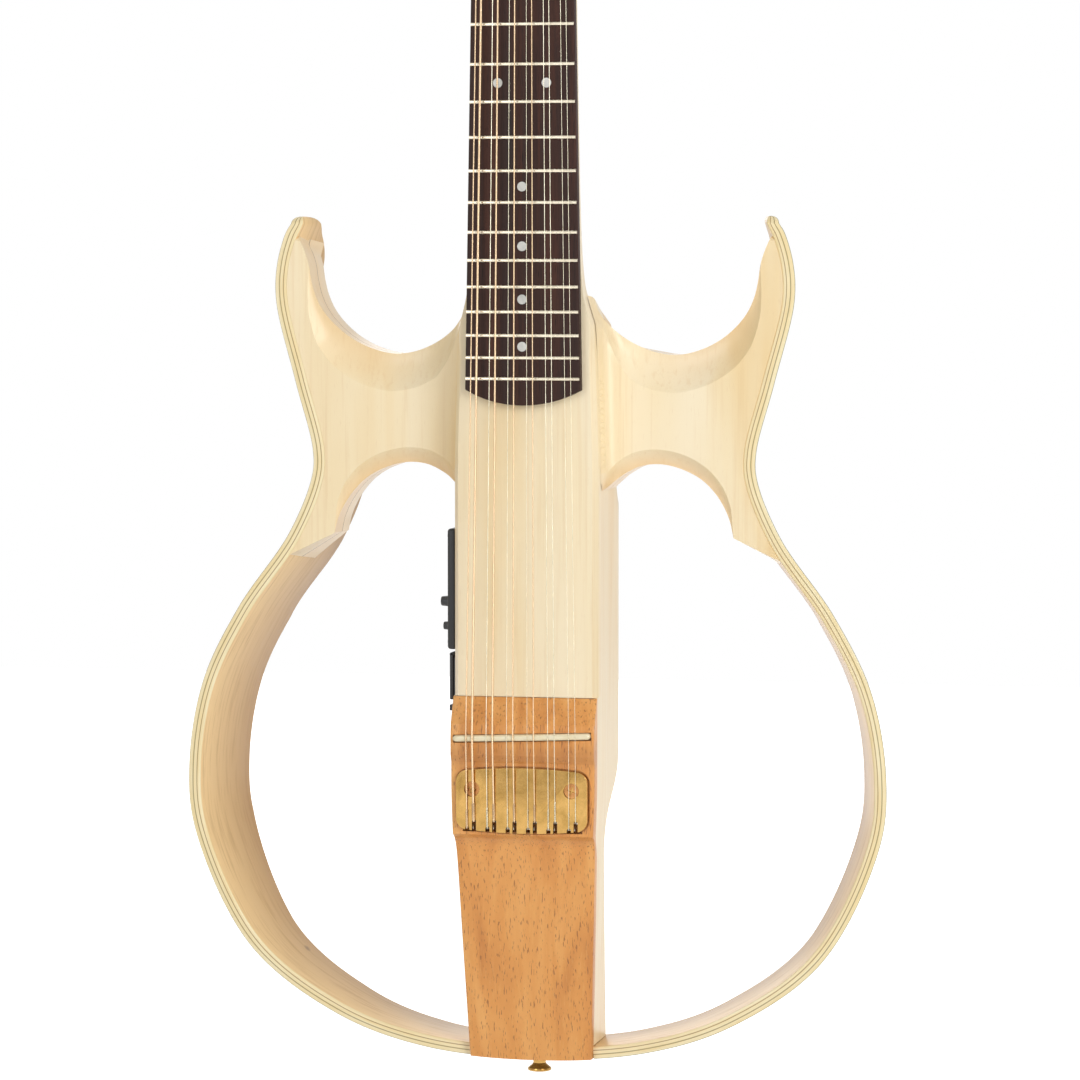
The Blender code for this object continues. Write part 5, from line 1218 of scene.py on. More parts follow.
def inlay_plan(material):
    """Flat round inlays."""
    plan = Plan("round_inlays", {"Radius": 0.0025, "Depth": 0.0004, "Facing": pi / 2, "Swing": 0.0})
    given = plan.given
    disc = plan.add("MeshCylinder", {"Vertices": 28, "Radius": given["Radius"],
                                     "Depth": given["Depth"]})
    facing = plan.vector(given["Facing"], given["Swing"], 0.0)
    return plan.finish(on_each_point(plan, disc, facing), material)


def ring_plan(material):
    """Round ferrules, each a rounded ring."""
    plan = Plan("ferrule_rings", {"Radius": 0.0045, "Thickness": 0.0007, "Facing": pi / 2})
    given = plan.given
    circle = plan.add("CurvePrimitiveCircle", {"Resolution": 32, "Radius": given["Radius"]})
    profile = plan.add("CurvePrimitiveCircle", {"Resolution": 12, "Radius": given["Thickness"]})
    ring = plan.add("CurveToMesh", {"Curve": circle, "Profile Curve": profile})
    return plan.finish(on_each_point(plan, ring, plan.vector(given["Facing"])), material)


def coil_plan(material):
    """A wire in even turns, from the origin up its own Z."""
    plan = Plan("wire_coil", {"Turns": 3.0, "Coil Radius": 0.002, "Height": 0.002,
                              "Wire Radius": 0.0002, "Steps": 20})
    given = plan.given
    spiral = plan.add("CurveSpiral", {"Resolution": given["Steps"], "Rotations": given["Turns"],
                                      "Start Radius": given["Coil Radius"],
                                      "End Radius": given["Coil Radius"], "Height": given["Height"]})
    profile = plan.add("CurvePrimitiveCircle", {"Resolution": 8, "Radius": given["Wire Radius"]})
    wire = plan.add("CurveToMesh", {"Curve": spiral, "Profile Curve": profile, "Fill Caps": True})
    return plan.finish(wire, material)


def wind(name, material, turns, coil_radius, height, wire_radius, steps, matrix):
    """One coil of wire, set in place by matrix."""
    labels = ("Turns", "Coil Radius", "Height", "Wire Radius", "Steps")
    values = dict(zip(labels, (turns, coil_radius, height, wire_radius, steps)))
    mesh = grow(name, coil_plan(material), [(0, 0, 0)], values, 60)
    mesh.transform(matrix)
    return mesh


def fret_plan(material):
    """All the frets: their spacing follows the scale, their length the board's taper."""
    plan = Plan("fret_row", {"Count": FRET_COUNT, "Scale Length": SCALE_LENGTH,
                             "Board Radius": BOARD_RADIUS, "Half At Nut": 0.02, "Growth": 0.02,
                             "Crown Width": FRET_WIDTH, "Crown Height": FRET_HEIGHT,
                             "Board Top": -BOARD_THICKNESS})
    given = plan.given
    number = plan.maths("ADD", plan.add("InputIndex"), 1.0)
    left = plan.maths("POWER", 2.0, plan.maths("DIVIDE", number, -12.0))
    away = plan.maths("SUBTRACT", 1.0, left)
    z = plan.maths("MULTIPLY", plan.maths("MULTIPLY", away, given["Scale Length"]), -1.0)
    points = plan.add("Points", {"Count": given["Count"], "Position": plan.vector(z=z)})
    line = plan.add("CurvePrimitiveLine", {"Start": (-1.0, 0.0, 0.0), "End": (1.0, 0.0, 0.0)})
    line = plan.add("ResampleCurve", {"Curve": line, "Count": 25})
    profile = plan.add("CurvePrimitiveCircle", {"Resolution": 14, "Radius": 1.0})
    bar = plan.add("CurveToMesh", {"Curve": line, "Profile Curve": profile, "Fill Caps": True})
    half = plan.maths("ADD", given["Half At Nut"], plan.maths("MULTIPLY", away, given["Growth"]))
    half_crown = plan.maths("MULTIPLY", given["Crown Width"], 0.5)
    size = plan.vector(half, given["Crown Height"], half_crown)
    bars = plan.add("InstanceOnPoints", {"Points": points, "Instance": bar, "Scale": size})
    bars = plan.add("RealizeInstances", {"Geometry": bars})
    x = plan.add("ShaderNodeSeparateXYZ", {0: plan.add("InputPosition")})
    fall = plan.maths("DIVIDE", plan.maths("MULTIPLY", x, x),
                      plan.maths("MULTIPLY", given["Board Radius"], 2.0))
    fall = plan.maths("ADD", fall, given["Board Top"])
    bars = plan.add("SetPosition", {"Geometry": bars, "Offset": plan.vector(y=fall)})
    return plan.finish(bars, material)


# Fingerboard, frets, inlays and nut

def board_top(x):
    return -BOARD_THICKNESS + sag(x)


def board_end_z(share):
    half = BOARD_END_WIDTH / 2
    radius = (half ** 2 + BOARD_END_BULGE ** 2) / (2 * BOARD_END_BULGE)
    last = fret_z(FRET_COUNT) - BOARD_PAST_LAST_FRET
    return last - (sqrt(radius ** 2 - (half * share) ** 2) - (radius - BOARD_END_BULGE))


def between_frets(number):
    """Halfway between a fret and the one before it."""
    return (fret_z(number) + fret_z(number - 1)) / 2


def make_fingerboard(board_material, fret_material, dot_material):
    edge = [0.97, 0.985, 0.995, 1.0]
    shares = [-s for s in edge[::-1]] + list(np.linspace(-0.94, 0.94, 33)) + edge
    rings = []
    for share in shares:
        end = board_end_z(share)
        fall = BOARD_EDGE_FALL * float(progress(abs(share), 0.97, 1.0)) ** 2
        x_top, x_end = share * board_half(0), share * board_half(end)
        rings.append([(x_top, -GAP, 0), (x_top, board_top(x_top) + fall, 0),
                      (x_end, board_top(x_end) + fall, end + 0.0005),
                      (x_end, board_top(x_end) + fall + 0.0005, end), (x_end, -GAP, end)])
    mesh = loft("fingerboard", rings, 40)
    piece("rosewood_fingerboard", mesh, board_material, stands_for=("fingerboard",))
    growth = (BOARD_END_WIDTH - NUT_WIDTH) / 2 / (1 - 2 ** (-FRET_COUNT / 12))
    frets = grow("frets", fret_plan(fret_material), [(0, 0, 0)],
                 {"Half At Nut": NUT_WIDTH / 2 - GAP, "Growth": growth}, 40)
    piece("frets", frets, fret_material)

    face = [(0.0, n) for n in DOT_FRETS] + [(side * OCTAVE_DOT_X, OCTAVE_FRET) for side in (-1, 1)]
    dots = [(x, board_top(x) + 0.00013, between_frets(n)) for x, n in face]
    mesh = grow("face_dots", inlay_plan(dot_material), dots, DOT_SIZES)
    piece("fingerboard_dots", mesh, dot_material)
    shifts = [(n, 0.0) for n in DOT_FRETS]
    shifts += [(OCTAVE_FRET, way * OCTAVE_SIDE_DOT_SHIFT) for way in (1, -1)]
    spots = []
    for n, shift in shifts:
        z = between_frets(n)
        spots.append((-board_half(z) - 0.00003, -BOARD_THICKNESS * 0.5, z + shift))
    mesh = grow("side_dots", inlay_plan(dot_material), spots, SIDE_DOT_SIZES)
    piece("fingerboard_side_dots", mesh, dot_material)


def make_nut(material):
    stops = set(np.linspace(-NUT_WIDTH / 2, NUT_WIDTH / 2, 41))
    for index, diameter in enumerate(STRING_DIAMETERS):
        x = string_x(index, NUT_SPACING)
        reach = diameter / 2 + 0.0001
        stops |= {x - reach - 0.00005, x - reach, x + reach, x + reach + 0.00005}
    rings = []
    for x in sorted(stops):
        in_slot = any(abs(x - string_x(i, NUT_SPACING)) < d / 2 + 0.00012
                      for i, d in enumerate(STRING_DIAMETERS))
        top = -NUT_HEIGHT + sag(x) - (0.0 if in_slot else NUT_SLOT_DEPTH)
        rings.append([(x, -GAP, GAP), (x, top, GAP), (x, top + 0.0002, NUT_LENGTH * 0.4),
                      (x, top + 0.0012, NUT_LENGTH - 0.0008), (x, top + 0.002, NUT_LENGTH - GAP),
                      (x, -GAP, NUT_LENGTH - GAP)])
    piece("bone_nut", loft("nut", rings, 30), material, stands_for=("nut",))


# Strings

def string_points(index, radius):
    lift = radius + GAP / 3
    x_plate = string_x(index, PLATE_SPACING)
    x_saddle = string_x(index, SADDLE_SPACING)
    x_nut = string_x(index, NUT_SPACING)
    ball_z = BALL_ROWS_Z[index % 2]
    crown_z = SADDLE_CENTRE_Z + x_saddle * tan(SADDLE_SLANT)
    nut_y = -NUT_HEIGHT + sag(x_nut) - lift
    side = -1 if index < COURSE_COUNT else 1
    step = index if side < 0 else 2 * COURSE_COUNT - 1 - index
    post_z = TUNER_FIRST + TUNER_PITCH * step
    post_x = side * (POST_X - POST_WAIST_RADIUS - radius - GAP)
    return [place(x_plate, BALL_Y, ball_z), place(x_plate, PLATE_FRONT_Y - lift, ball_z),
            place(x_saddle, SADDLE_TOP_Y + sag(x_saddle) - lift, crown_z),
            Vector((x_nut, nut_y, 0.0)), Vector((x_nut, nut_y, NUT_LENGTH)),
            head_matrix() @ Vector((post_x, POST_WAIST_Y, post_z))], side, post_z


def make_strings(plain_material, wound_material, ball_material):
    for index, diameter in enumerate(STRING_DIAMETERS):
        radius = diameter / 2
        wound = index in WOUND_STRINGS
        material = wound_material if wound else plain_material
        points, side, post_z = string_points(index, radius)
        meshes = [tube("string", rounded_path(points, 0.0009), radius, 12)]
        wrap, length = WOUND_TWIST if wound else (radius, PLAIN_TWIST_LENGTH)
        along = (points[2] - points[1]).normalized()
        meshes.append(wind("end_twist", material, length / (wrap * 2.6), radius + wrap * 0.8,
                           length, wrap, 12, axis_frame(points[1] + along * TWIST_START, along)))
        height = min(POST_TURNS * diameter * 1.05, POST_COIL_HIGHEST)
        start = (side * POST_X, POST_WAIST_Y + height * 0.4, post_z)
        meshes.append(wind("post_winding", material, POST_TURNS, POST_WAIST_RADIUS + radius + GAP,
                           height, radius, 26, head_matrix() @ axis_frame(start, (0, -1, 0))))
        name = f"string_{index + 1:02d}"
        piece(f"{name}_wire", merged(name, meshes, 60), material, stands_for=(name,))
    balls = []
    for index in range(2 * COURSE_COUNT):
        x, z = string_x(index, PLATE_SPACING), BALL_ROWS_Z[index % 2]
        half = BALL_LENGTH / 2
        profile = ((0.0006, -half), (BALL_RADIUS * 0.9, -half), (BALL_RADIUS, -half * 0.86),
                   (BALL_RADIUS, -half * 0.5), (BALL_RADIUS * 0.72, -half * 0.3),
                   (BALL_RADIUS * 0.72, half * 0.3), (BALL_RADIUS, half * 0.5),
                   (BALL_RADIUS, half * 0.86), (BALL_RADIUS * 0.9, half), (0.0006, half))
        at = axis_frame(place(x, BALL_Y, z), (1, 0, 0))
        balls.append(turned("ball", profile, at, 20, closed=True))
    piece("string_ball_ends", merged("balls", balls), ball_material)


# Tuning machines

def tuner_places():
    """Each tuner's (side, post X, post height), the bass side first, from the nut upwards."""
    return [(side, side * POST_X, TUNER_FIRST + TUNER_PITCH * i)
            for side in (-1, 1) for i in range(TUNERS_PER_SIDE)]


def make_posts(material, ferrule_material):
    top, waist, gear_end = -POST_TIP_Y, -POST_WAIST_Y, GEAR_START + GEAR_THICKNESS
    profile = [(0.0, top), (POST_RADIUS - 0.0009, top), (POST_RADIUS - 0.0003, top - 0.0003),
               (POST_RADIUS, top - 0.0009), (POST_RADIUS, waist + 0.0030)]
    groove = POST_RADIUS - POST_WAIST_RADIUS
    for angle in np.linspace(90, -90, 9):
        profile.append((POST_RADIUS - groove * cos(radians(angle)) ** 0.5,
                        waist + 0.0024 * sin(radians(angle))))
    profile += [(POST_RADIUS, waist - 0.0030), (POST_RADIUS, -GEAR_START),
                (GEAR_RADIUS - 0.0003, -GEAR_START), (GEAR_RADIUS, -GEAR_START - 0.0004),
                (GEAR_RADIUS, -gear_end + 0.0004), (GEAR_RADIUS - 0.0003, -gear_end),
                (0.0, -gear_end)]
    for number, (_, x, z) in enumerate(tuner_places(), start=1):
        frame_here = head_matrix() @ axis_frame((x, 0, z), (0, -1, 0))
        mesh = turned("post", profile, frame_here, 28, 35)
        piece(f"string_post_{number:02d}", mesh, material, f"post_{number:02d}",
              (f"tuner_post_{number:02d}",))
    spots = [(x, FERRULE_Y, z) for _, x, z in tuner_places()]
    rings = grow("ferrules", ring_plan(ferrule_material), spots,
                 dict(zip(("Radius", "Thickness"), FERRULE_SIZES)))
    rings.transform(head_matrix())
    piece("post_ferrules", rings, ferrule_material)


def button_mesh(side):
    """A kidney-shaped tuner button in one piece with its shaft and worm, along X."""
    shaft = [(-0.0048, SHAFT_RADIUS)]
    for k in range(9):
        shaft.append((-0.0045 + 0.0009 * k, WORM_RADIUS if k % 2 else WORM_RADIUS * 0.82))
    shaft += [(0.0048, SHAFT_RADIUS), (BUTTON_START - 0.0028, SHAFT_RADIUS),
              (BUTTON_START - 0.0024, BUTTON_COLLAR), (BUTTON_START - 0.0010, BUTTON_COLLAR),
              (BUTTON_START - 0.0006, SHAFT_RADIUS)]
    sizes = [(x, radius, radius) for x, radius in shaft]
    for along, wide, thick in BUTTON_GRIP:
        sizes.append((BUTTON_START + BUTTON_LENGTH * along, BUTTON_HALF_WIDTH * wide,
                      BUTTON_HALF_THICKNESS * thick))
    rings = []
    for along, wide, thick in sizes:
        turns = [2 * pi * k / 28 for k in range(28)]
        rings.append([(side * along, thick * sin(t), wide * cos(t)) for t in turns])
    return loft("button", rings, 45)


def make_buttons(material):
    for number, (side, x, z) in enumerate(tuner_places(), start=1):
        mesh = button_mesh(side)
        mesh.transform(head_matrix() @ Matrix.Translation((x, SHAFT_Y, z + WORM_OFFSET)))
        piece(f"tuning_button_{number:02d}", mesh, material, f"button_{number:02d}",
              (f"tuner_button_{number:02d}",))


def make_tuner_plates(material, screw_material):
    back = HEAD_THICKNESS + GAP
    for name, side in (("bass", -1), ("treble", 1)):
        places = [(x, z) for own, x, z in tuner_places() if own == side]
        low, high = places[0][1] - STRIP_PAST, places[-1][1] + HOUSING_HIGH + 0.001
        span = sorted(side * s for s in STRIP_SPAN)
        strip = soft_box("strip", (span[0], back, low), (span[1], back + STRIP_THICKNESS, high),
                         0.0004)
        ends = sorted((side * HOUSING_SPAN[0], side * HOUSING_SPAN[1]))
        wall = HOUSING_WALL
        shell = soft_box("housing", (ends[0], back + GAP, -HOUSING_LOW),
                         (ends[1], back + HOUSING_DEPTH, HOUSING_HIGH), 0.0010)
        inner = ((ends[0] + wall, back - 0.001, -HOUSING_LOW + wall),
                 (ends[1] - wall, back + HOUSING_DEPTH - wall, HOUSING_HIGH - wall))
        shell = carve(shell, soft_box("hollow", *inner), 35)
        bore = rod("bore", (side * (HOUSING_SPAN[1] - 3 * wall), SHAFT_Y, WORM_OFFSET),
                   (side * (HOUSING_SPAN[1] + wall), SHAFT_Y, WORM_OFFSET),
                   SHAFT_RADIUS + 0.0005, 20)
        shell = carve(shell, bore, 35)
        parts = []
        for x, z in places:
            at = Vector((x, 0, z))
            strip = carve(strip, soft_box("opening", *[Vector(p) + at for p in inner]), 35)
            own = shell.copy()
            own.transform(Matrix.Translation(at))
            parts.append(own)
        whole = merged("tuner_plate", [strip, *parts], 35)
        whole.transform(head_matrix())
        piece(f"tuner_strip_{name}", whole, material, stands_for=(f"tuner_plate_{name}",))
        outer = back + STRIP_THICKNESS + 0.0004
        spots = [(side * (STRIP_SPAN[0] + 0.0016), outer, low + 0.0025),
                 (side * (STRIP_SPAN[1] - 0.0024), outer, low + 0.0025)]
        spots += [(side * (POST_X + 0.0015), outer, z + HOUSING_HIGH + 0.0045)
                  for _, z in places[:-1]]
        add_screws(f"tuner_strip_screws_{name}", screw_material, spots, STRIP_SCREW_SIZES,
                   head_matrix(), -pi / 2)


def make_truss_cover(material, screw_material):
    right = [tuple(p) for p in smooth_row(TRUSS_COVER_EDGE, 24)]
    shape = right + [(-x, z) for x, z in right[::-1] if x > 0.0001]
    rings = []
    for y, inset in TRUSS_COVER_STEPS:
        rings.append([])
        for p in shape:
            away = np.array(TRUSS_COVER_MIDDLE) - np.array(p)
            q = np.array(p) + away / np.linalg.norm(away) * inset
            rings[-1].append(head_matrix() @ Vector((q[0], y, q[1])))
    piece("truss_rod_cover", loft("cover", rings, 35), material)
    add_screws("truss_rod_cover_screws", screw_material, TRUSS_SCREWS, TRUSS_SCREW_SIZES,
               head_matrix())


# Electronics, battery, jack, strap button and back cover

def make_preamp(panel_material, screw_material, lamp_material):
    outer = SIDE_X - PANEL_THICKNESS
    inset = PANEL_WINDOW_INSET + GAP
    panel = soft_box("panel", place(outer, PANEL_Y[0], PANEL_Z[0]),
                     place(SIDE_X, PANEL_Y[1], PANEL_Z[1]), PANEL_ROUND, 4)
    case = soft_box("case", place(SIDE_X - 0.001, PANEL_Y[0] + inset, PANEL_Z[0] + inset),
                    place(PREAMP_CASE_END_X, PANEL_Y[1] - inset, PANEL_Z[1] - inset))
    mesh = carve(panel, case, 35, "UNION")
    for body_z, _, _ in (VOLUME_KNOB, TONE_KNOB):
        hole = rod("hole", place(outer - 0.01, KNOB_Y, body_z),
                   place(outer + 0.0115, KNOB_Y, body_z), KNOB_SHAFT_RADIUS + 0.0005, 20)
        mesh = carve(mesh, hole, 35)
    recess = soft_box("recess", place(outer - 0.002, PANEL_RECESS_Y[0], PANEL_RECESS_Z[0]),
                      place(outer + PANEL_RECESS_DEPTH, PANEL_RECESS_Y[1], PANEL_RECESS_Z[1]))
    mesh = carve(mesh, recess, 35)
    piece("preamp_panel", mesh, panel_material, stands_for=("preamp",))
    edge = PANEL_SCREW_INSET
    spots = [(-y, 0.0, z) for y in (PANEL_Y[0] + edge, PANEL_Y[1] - edge)
             for z in (PANEL_Z[0] + edge, PANEL_Z[1] - edge)]
    add_screws("preamp_panel_screws", screw_material, spots, PANEL_SCREW_SIZES,
               Matrix.Translation(place(outer, 0, 0)) @ Matrix.Rotation(-pi / 2, 4, "Z"))
    lamp = turned("lamp", ((0, 0.0005), (0.0009, 0.0003), (0.0013, -0.0004), (0, -0.0004)),
                  axis_frame(place(outer, *PANEL_LAMP), (-1, 0, 0)), 20)
    piece("preamp_lamp", lamp, lamp_material)


def make_knobs(material, line_material):
    outer = SIDE_X - PANEL_THICKNESS - GAP
    for name, (body_z, radius, length) in (("volume", VOLUME_KNOB), ("tone", TONE_KNOB)):
        grip = ((0.0, length), (radius * 0.62, length), (radius * 0.80, length * 0.97),
                (radius * 0.86, length * 0.9))
        base = ((radius * 0.97, length * 0.25), (radius, length * 0.12), (radius, 0.0),
                (KNOB_SHAFT_RADIUS, 0.0), (KNOB_SHAFT_RADIUS, -KNOB_SHAFT_LENGTH),
                (0.0, -KNOB_SHAFT_LENGTH))
        matrix = axis_frame(place(outer, KNOB_Y, body_z), (-1, 0, 0))
        mesh = turned("knob", grip + base, matrix, 72, 35, flutes=18, flute_depth=0.05)
        piece(f"{name}_knob_fluted", mesh, material, name, (f"{name}_knob",))
        line = soft_box("line", (-KNOB_LINE_HALF, 0.0002, length - 0.0001),
                        (KNOB_LINE_HALF, radius * 0.72, length + 0.00008))
        line.transform(matrix)
        piece(f"{name}_knob_line", line, line_material, name)


def make_battery_door(material):
    outer = SIDE_X - BOX_FLANGE - GAP - DOOR_THICKNESS
    lid = soft_box("lid", place(outer, DOOR_Y[0], DOOR_Z[0]),
                   place(outer + DOOR_THICKNESS, DOOR_Y[1], DOOR_Z[1] - DOOR_HINGE_RADIUS), 0.0005)
    hinge_z = DOOR_Z[1] - DOOR_HINGE_RADIUS
    barrel = rod("barrel", place(outer + DOOR_THICKNESS / 2, DOOR_Y[0] + 0.0005, hinge_z),
                 place(outer + DOOR_THICKNESS / 2, DOOR_Y[1] - 0.0005, hinge_z), DOOR_HINGE_RADIUS)
    ribs = []
    for k in range(DOOR_RIB_COUNT):
        z = DOOR_Z[0] + DOOR_RIB_START + DOOR_RIB_PITCH * k
        ribs.append(soft_box("rib", place(outer - 0.0001, DOOR_Y[0] + 0.004, z),
                             place(outer + 0.0005, DOOR_Y[1] - 0.004, z + DOOR_RIB_WIDTH)))
    mesh = carve(lid, barrel, 35, "UNION")
    mesh = carve(mesh, merged("ribs", ribs), 35)
    piece("battery_door_ribbed", mesh, material, "door", ("battery_door",))


def make_battery_cell(jacket_material):
    length, wide, tall = BATTERY_SIZE
    low = place(SIDE_X + GAP, BATTERY_Y - wide / 2, BATTERY_Z - tall / 2)
    high = place(SIDE_X + GAP + length, BATTERY_Y + wide / 2, BATTERY_Z + tall / 2)
    piece("battery_jacket", soft_box("battery", low, high, 0.0015, 4), jacket_material,
          stands_for=("battery",))


def make_jack(material):
    face = axis_frame(place(SIDE_X, JACK_Y, JACK_Z), (-1, 0, 0))
    top = JACK_FLANGE + JACK_NUT
    body, flange = JACK_BODY_RADIUS, JACK_FLANGE_RADIUS
    profile = ((JACK_BORE, top - 0.0002), (JACK_BORE + 0.0003, top), (body - 0.0004, top),
               (body, top - 0.0004), (body, JACK_FLANGE), (flange - 0.0005, JACK_FLANGE),
               (flange, JACK_FLANGE - 0.0006), (flange, 0.0), (body, 0.0),
               (body, -JACK_LENGTH), (JACK_BORE, -JACK_LENGTH))
    piece("jack_socket", turned("jack", profile, face, 48, closed=True), material,
          stands_for=("output_jack",))


def make_strap_button(material):
    height, flange, neck = STRAP_HEIGHT, STRAP_FLANGE_RADIUS, STRAP_NECK_RADIUS
    profile = [(0.0, height * 0.93), (0.0012, height * 0.93), (0.0018, height),
               (flange * 0.88, height), (flange * 0.97, height * 0.96), (flange, height * 0.89),
               (flange * 0.97, height * 0.81), (flange * 0.86, height * 0.74),
               (neck * 1.15, height * 0.60), (neck, height * 0.50), (neck, height * 0.2),
               (neck * 1.1, height * 0.08), (neck * 1.25, 0.0), (STRAP_SHANK_RADIUS, 0.0),
               (STRAP_SHANK_RADIUS, 0.002 - STRAP_SHANK_LENGTH), (0.0, -STRAP_SHANK_LENGTH)]
    at = axis_frame(place(0, STRAP_BUTTON_Y, RIM_TAIL_Z - GAP), (0, 0, -1))
    piece("strap_button_turned", turned("strap", profile, at, 48), material,
          stands_for=("strap_button",))


def make_back_cover(material, screw_material):
    margin = COVER_LEDGE - GAP
    inner_y = BEAM_DEPTH - COVER_THICKNESS
    mesh = soft_box("cover", place(-CHAMBER_HALF - margin, inner_y, CHAMBER_LOW_Z - margin),
                    place(CHAMBER_HALF + margin, BEAM_DEPTH, CHAMBER_TOP_Z + margin), 0.0005)
    piece("chamber_cover", mesh, material, stands_for=("back_cover",))
    x = CHAMBER_HALF + COVER_SCREW_INSET
    spots = [place(side * x, BEAM_DEPTH + GAP / 2, z) for side in (-1, 1)
             for z in (CHAMBER_TOP_Z + COVER_SCREW_INSET, CHAMBER_LOW_Z - COVER_SCREW_INSET)]
    add_screws("chamber_cover_screws", screw_material, spots, COVER_SCREW_SIZES,
               facing=-pi / 2)


# Finishes

def tone(red, green, blue):
    """A colour given as it looks on a screen, 0 to 255, as the shader wants it."""
    def straight(value):
        share = value / 255
        return share / 12.92 if share <= 0.04045 else ((share + 0.055) / 1.055) ** 2.4
    return (straight(red), straight(green), straight(blue), 1.0)


class Finish:
    """A surface finish built node by node on the piece's own coordinates."""

    def __init__(self, name, color, roughness, metallic=0.0, **sockets):
        self.material = bpy.data.materials.new(name)
        self.material.use_nodes = True
        self.nodes = self.material.node_tree.nodes
        self.links = self.material.node_tree.links
        self.shader = self.nodes["Principled BSDF"]
        self.shader.inputs["Base Color"].default_value = color
        self.shader.inputs["Roughness"].default_value = roughness
        self.shader.inputs["Metallic"].default_value = metallic
        for label, value in sockets.items():
            self.shader.inputs[label.replace("_", " ")].default_value = value
        self.where = self.nodes.new("ShaderNodeTexCoord").outputs["Object"]

    def add(self, kind, inputs=None, output=0, **settings):
        node = self.nodes.new("ShaderNode" + kind)
        return dress(node, self.links, inputs, settings).outputs[output]

    def feed(self, label, value):
        self.links.new(value, self.shader.inputs[label])

    def noise(self, scale, detail=4.0, rough=0.5, bend=0.0, turn=(0.0, 0.0, 0.0)):
        placed = self.add("Mapping", {"Vector": self.where, "Scale": scale, "Rotation": turn})
        return self.add("TexNoise", {"Vector": placed, "Scale": 1.0, "Detail": detail,
                                     "Roughness": rough, "Distortion": bend})

    def ramp(self, value, *stops):
        """Colours at stops of (place, colour) along a value."""
        node = self.nodes.new("ShaderNodeValToRGB")
        self.links.new(value, node.inputs[0])
        points = node.color_ramp.elements
        while len(points) < len(stops):
            points.new(0.5)
        for point, (place_on, color) in zip(points, stops):
            point.position = place_on
            point.color = color
        return node.outputs[0]

    def span(self, value, low, high, to_low=0.0, to_high=1.0):
        return self.add("MapRange", {"Value": value, "From Min": low, "From Max": high,
                                     "To Min": to_low, "To Max": to_high})

    def maths(self, operation, first, second=0.0):
        return self.add("Math", {0: first, 1: second}, operation=operation)

    def mix(self, share, first, second):
        return self.add("Mix", {0: share, 6: first, 7: second}, 2, data_type="RGBA")

    def stain(self, color, value, low, high, most, paint):
        """Mix a paint in as a value rises from low to high, up to a share of most."""
        return self.mix(self.span(value, low, high, 0.0, most), color, paint)

    def tint(self, color, share, most, paint):
        """Mix a paint in by a share that is already 0 to 1."""
        return self.mix(self.maths("MULTIPLY", share, most), color, paint)

    def axis(self, letter):
        return self.add("SeparateXYZ", {0: self.where}, "XYZ".index(letter))

    def number(self, name):
        return self.add("Attribute", output=2, attribute_name=name)

    def bump(self, height, strength, distance):
        self.feed("Normal", self.add("Bump", {"Height": height, "Strength": strength,
                                              "Distance": distance}))

    def finished(self, color, wear, smooth, rough, height, strength, distance, ends=(0.3, 0.7)):
        """Feed the colour, the roughness that follows wear, and the bump; give the material."""
        self.feed("Base Color", color)
        self.feed("Roughness", self.span(wear, *ends, smooth, rough))
        self.bump(height, strength, distance)
        return self.material

    def band(self, value, centre, half):
        """1 within half of a centre value and 0 outside, with a soft edge."""
        off = self.maths("ABSOLUTE", self.maths("SUBTRACT", value, centre))
        return self.span(off, half, half * 0.6)


def maple_finish(name, glued_seam):
    """Pale satin maple with long grain; the carved coves and their walls get a painted tan shade."""
    wood = Finish(name, tone(250, 230, 193), 0.38, Coat_Weight=0.2, Coat_Roughness=0.25)
    broad = wood.noise((26, 26, 3.0), 3.0, 0.5, 0.6)
    color = wood.ramp(broad, (0.30, tone(254, 239, 207)), (0.52, tone(251, 231, 190)),
                      (0.72, tone(243, 214, 160)))
    lines = wood.noise((420, 420, 9), 4.0, 0.6, 0.3)
    color = wood.stain(color, lines, 0.52, 0.72, 0.30, tone(226, 190, 134))
    flecks = wood.noise((1500, 1500, 160), 2.0, 0.5)
    color = wood.stain(color, flecks, 0.62, 0.78, 0.22, tone(214, 176, 128))
    # Painted tan shade in the coves and on the walls, carried by the cove numbers
    color = wood.tint(color, wood.number("cove"), 0.5, tone(234, 196, 142))
    if glued_seam:
        seam = wood.band(wood.axis("Y"), RIM_FRONT_Y + WING_LAYER, 0.0004)
        color = wood.tint(color, seam, 0.8, tone(120, 78, 45))
    return wood.finished(color, lines, 0.31, 0.43, lines, 0.05, 0.0002)


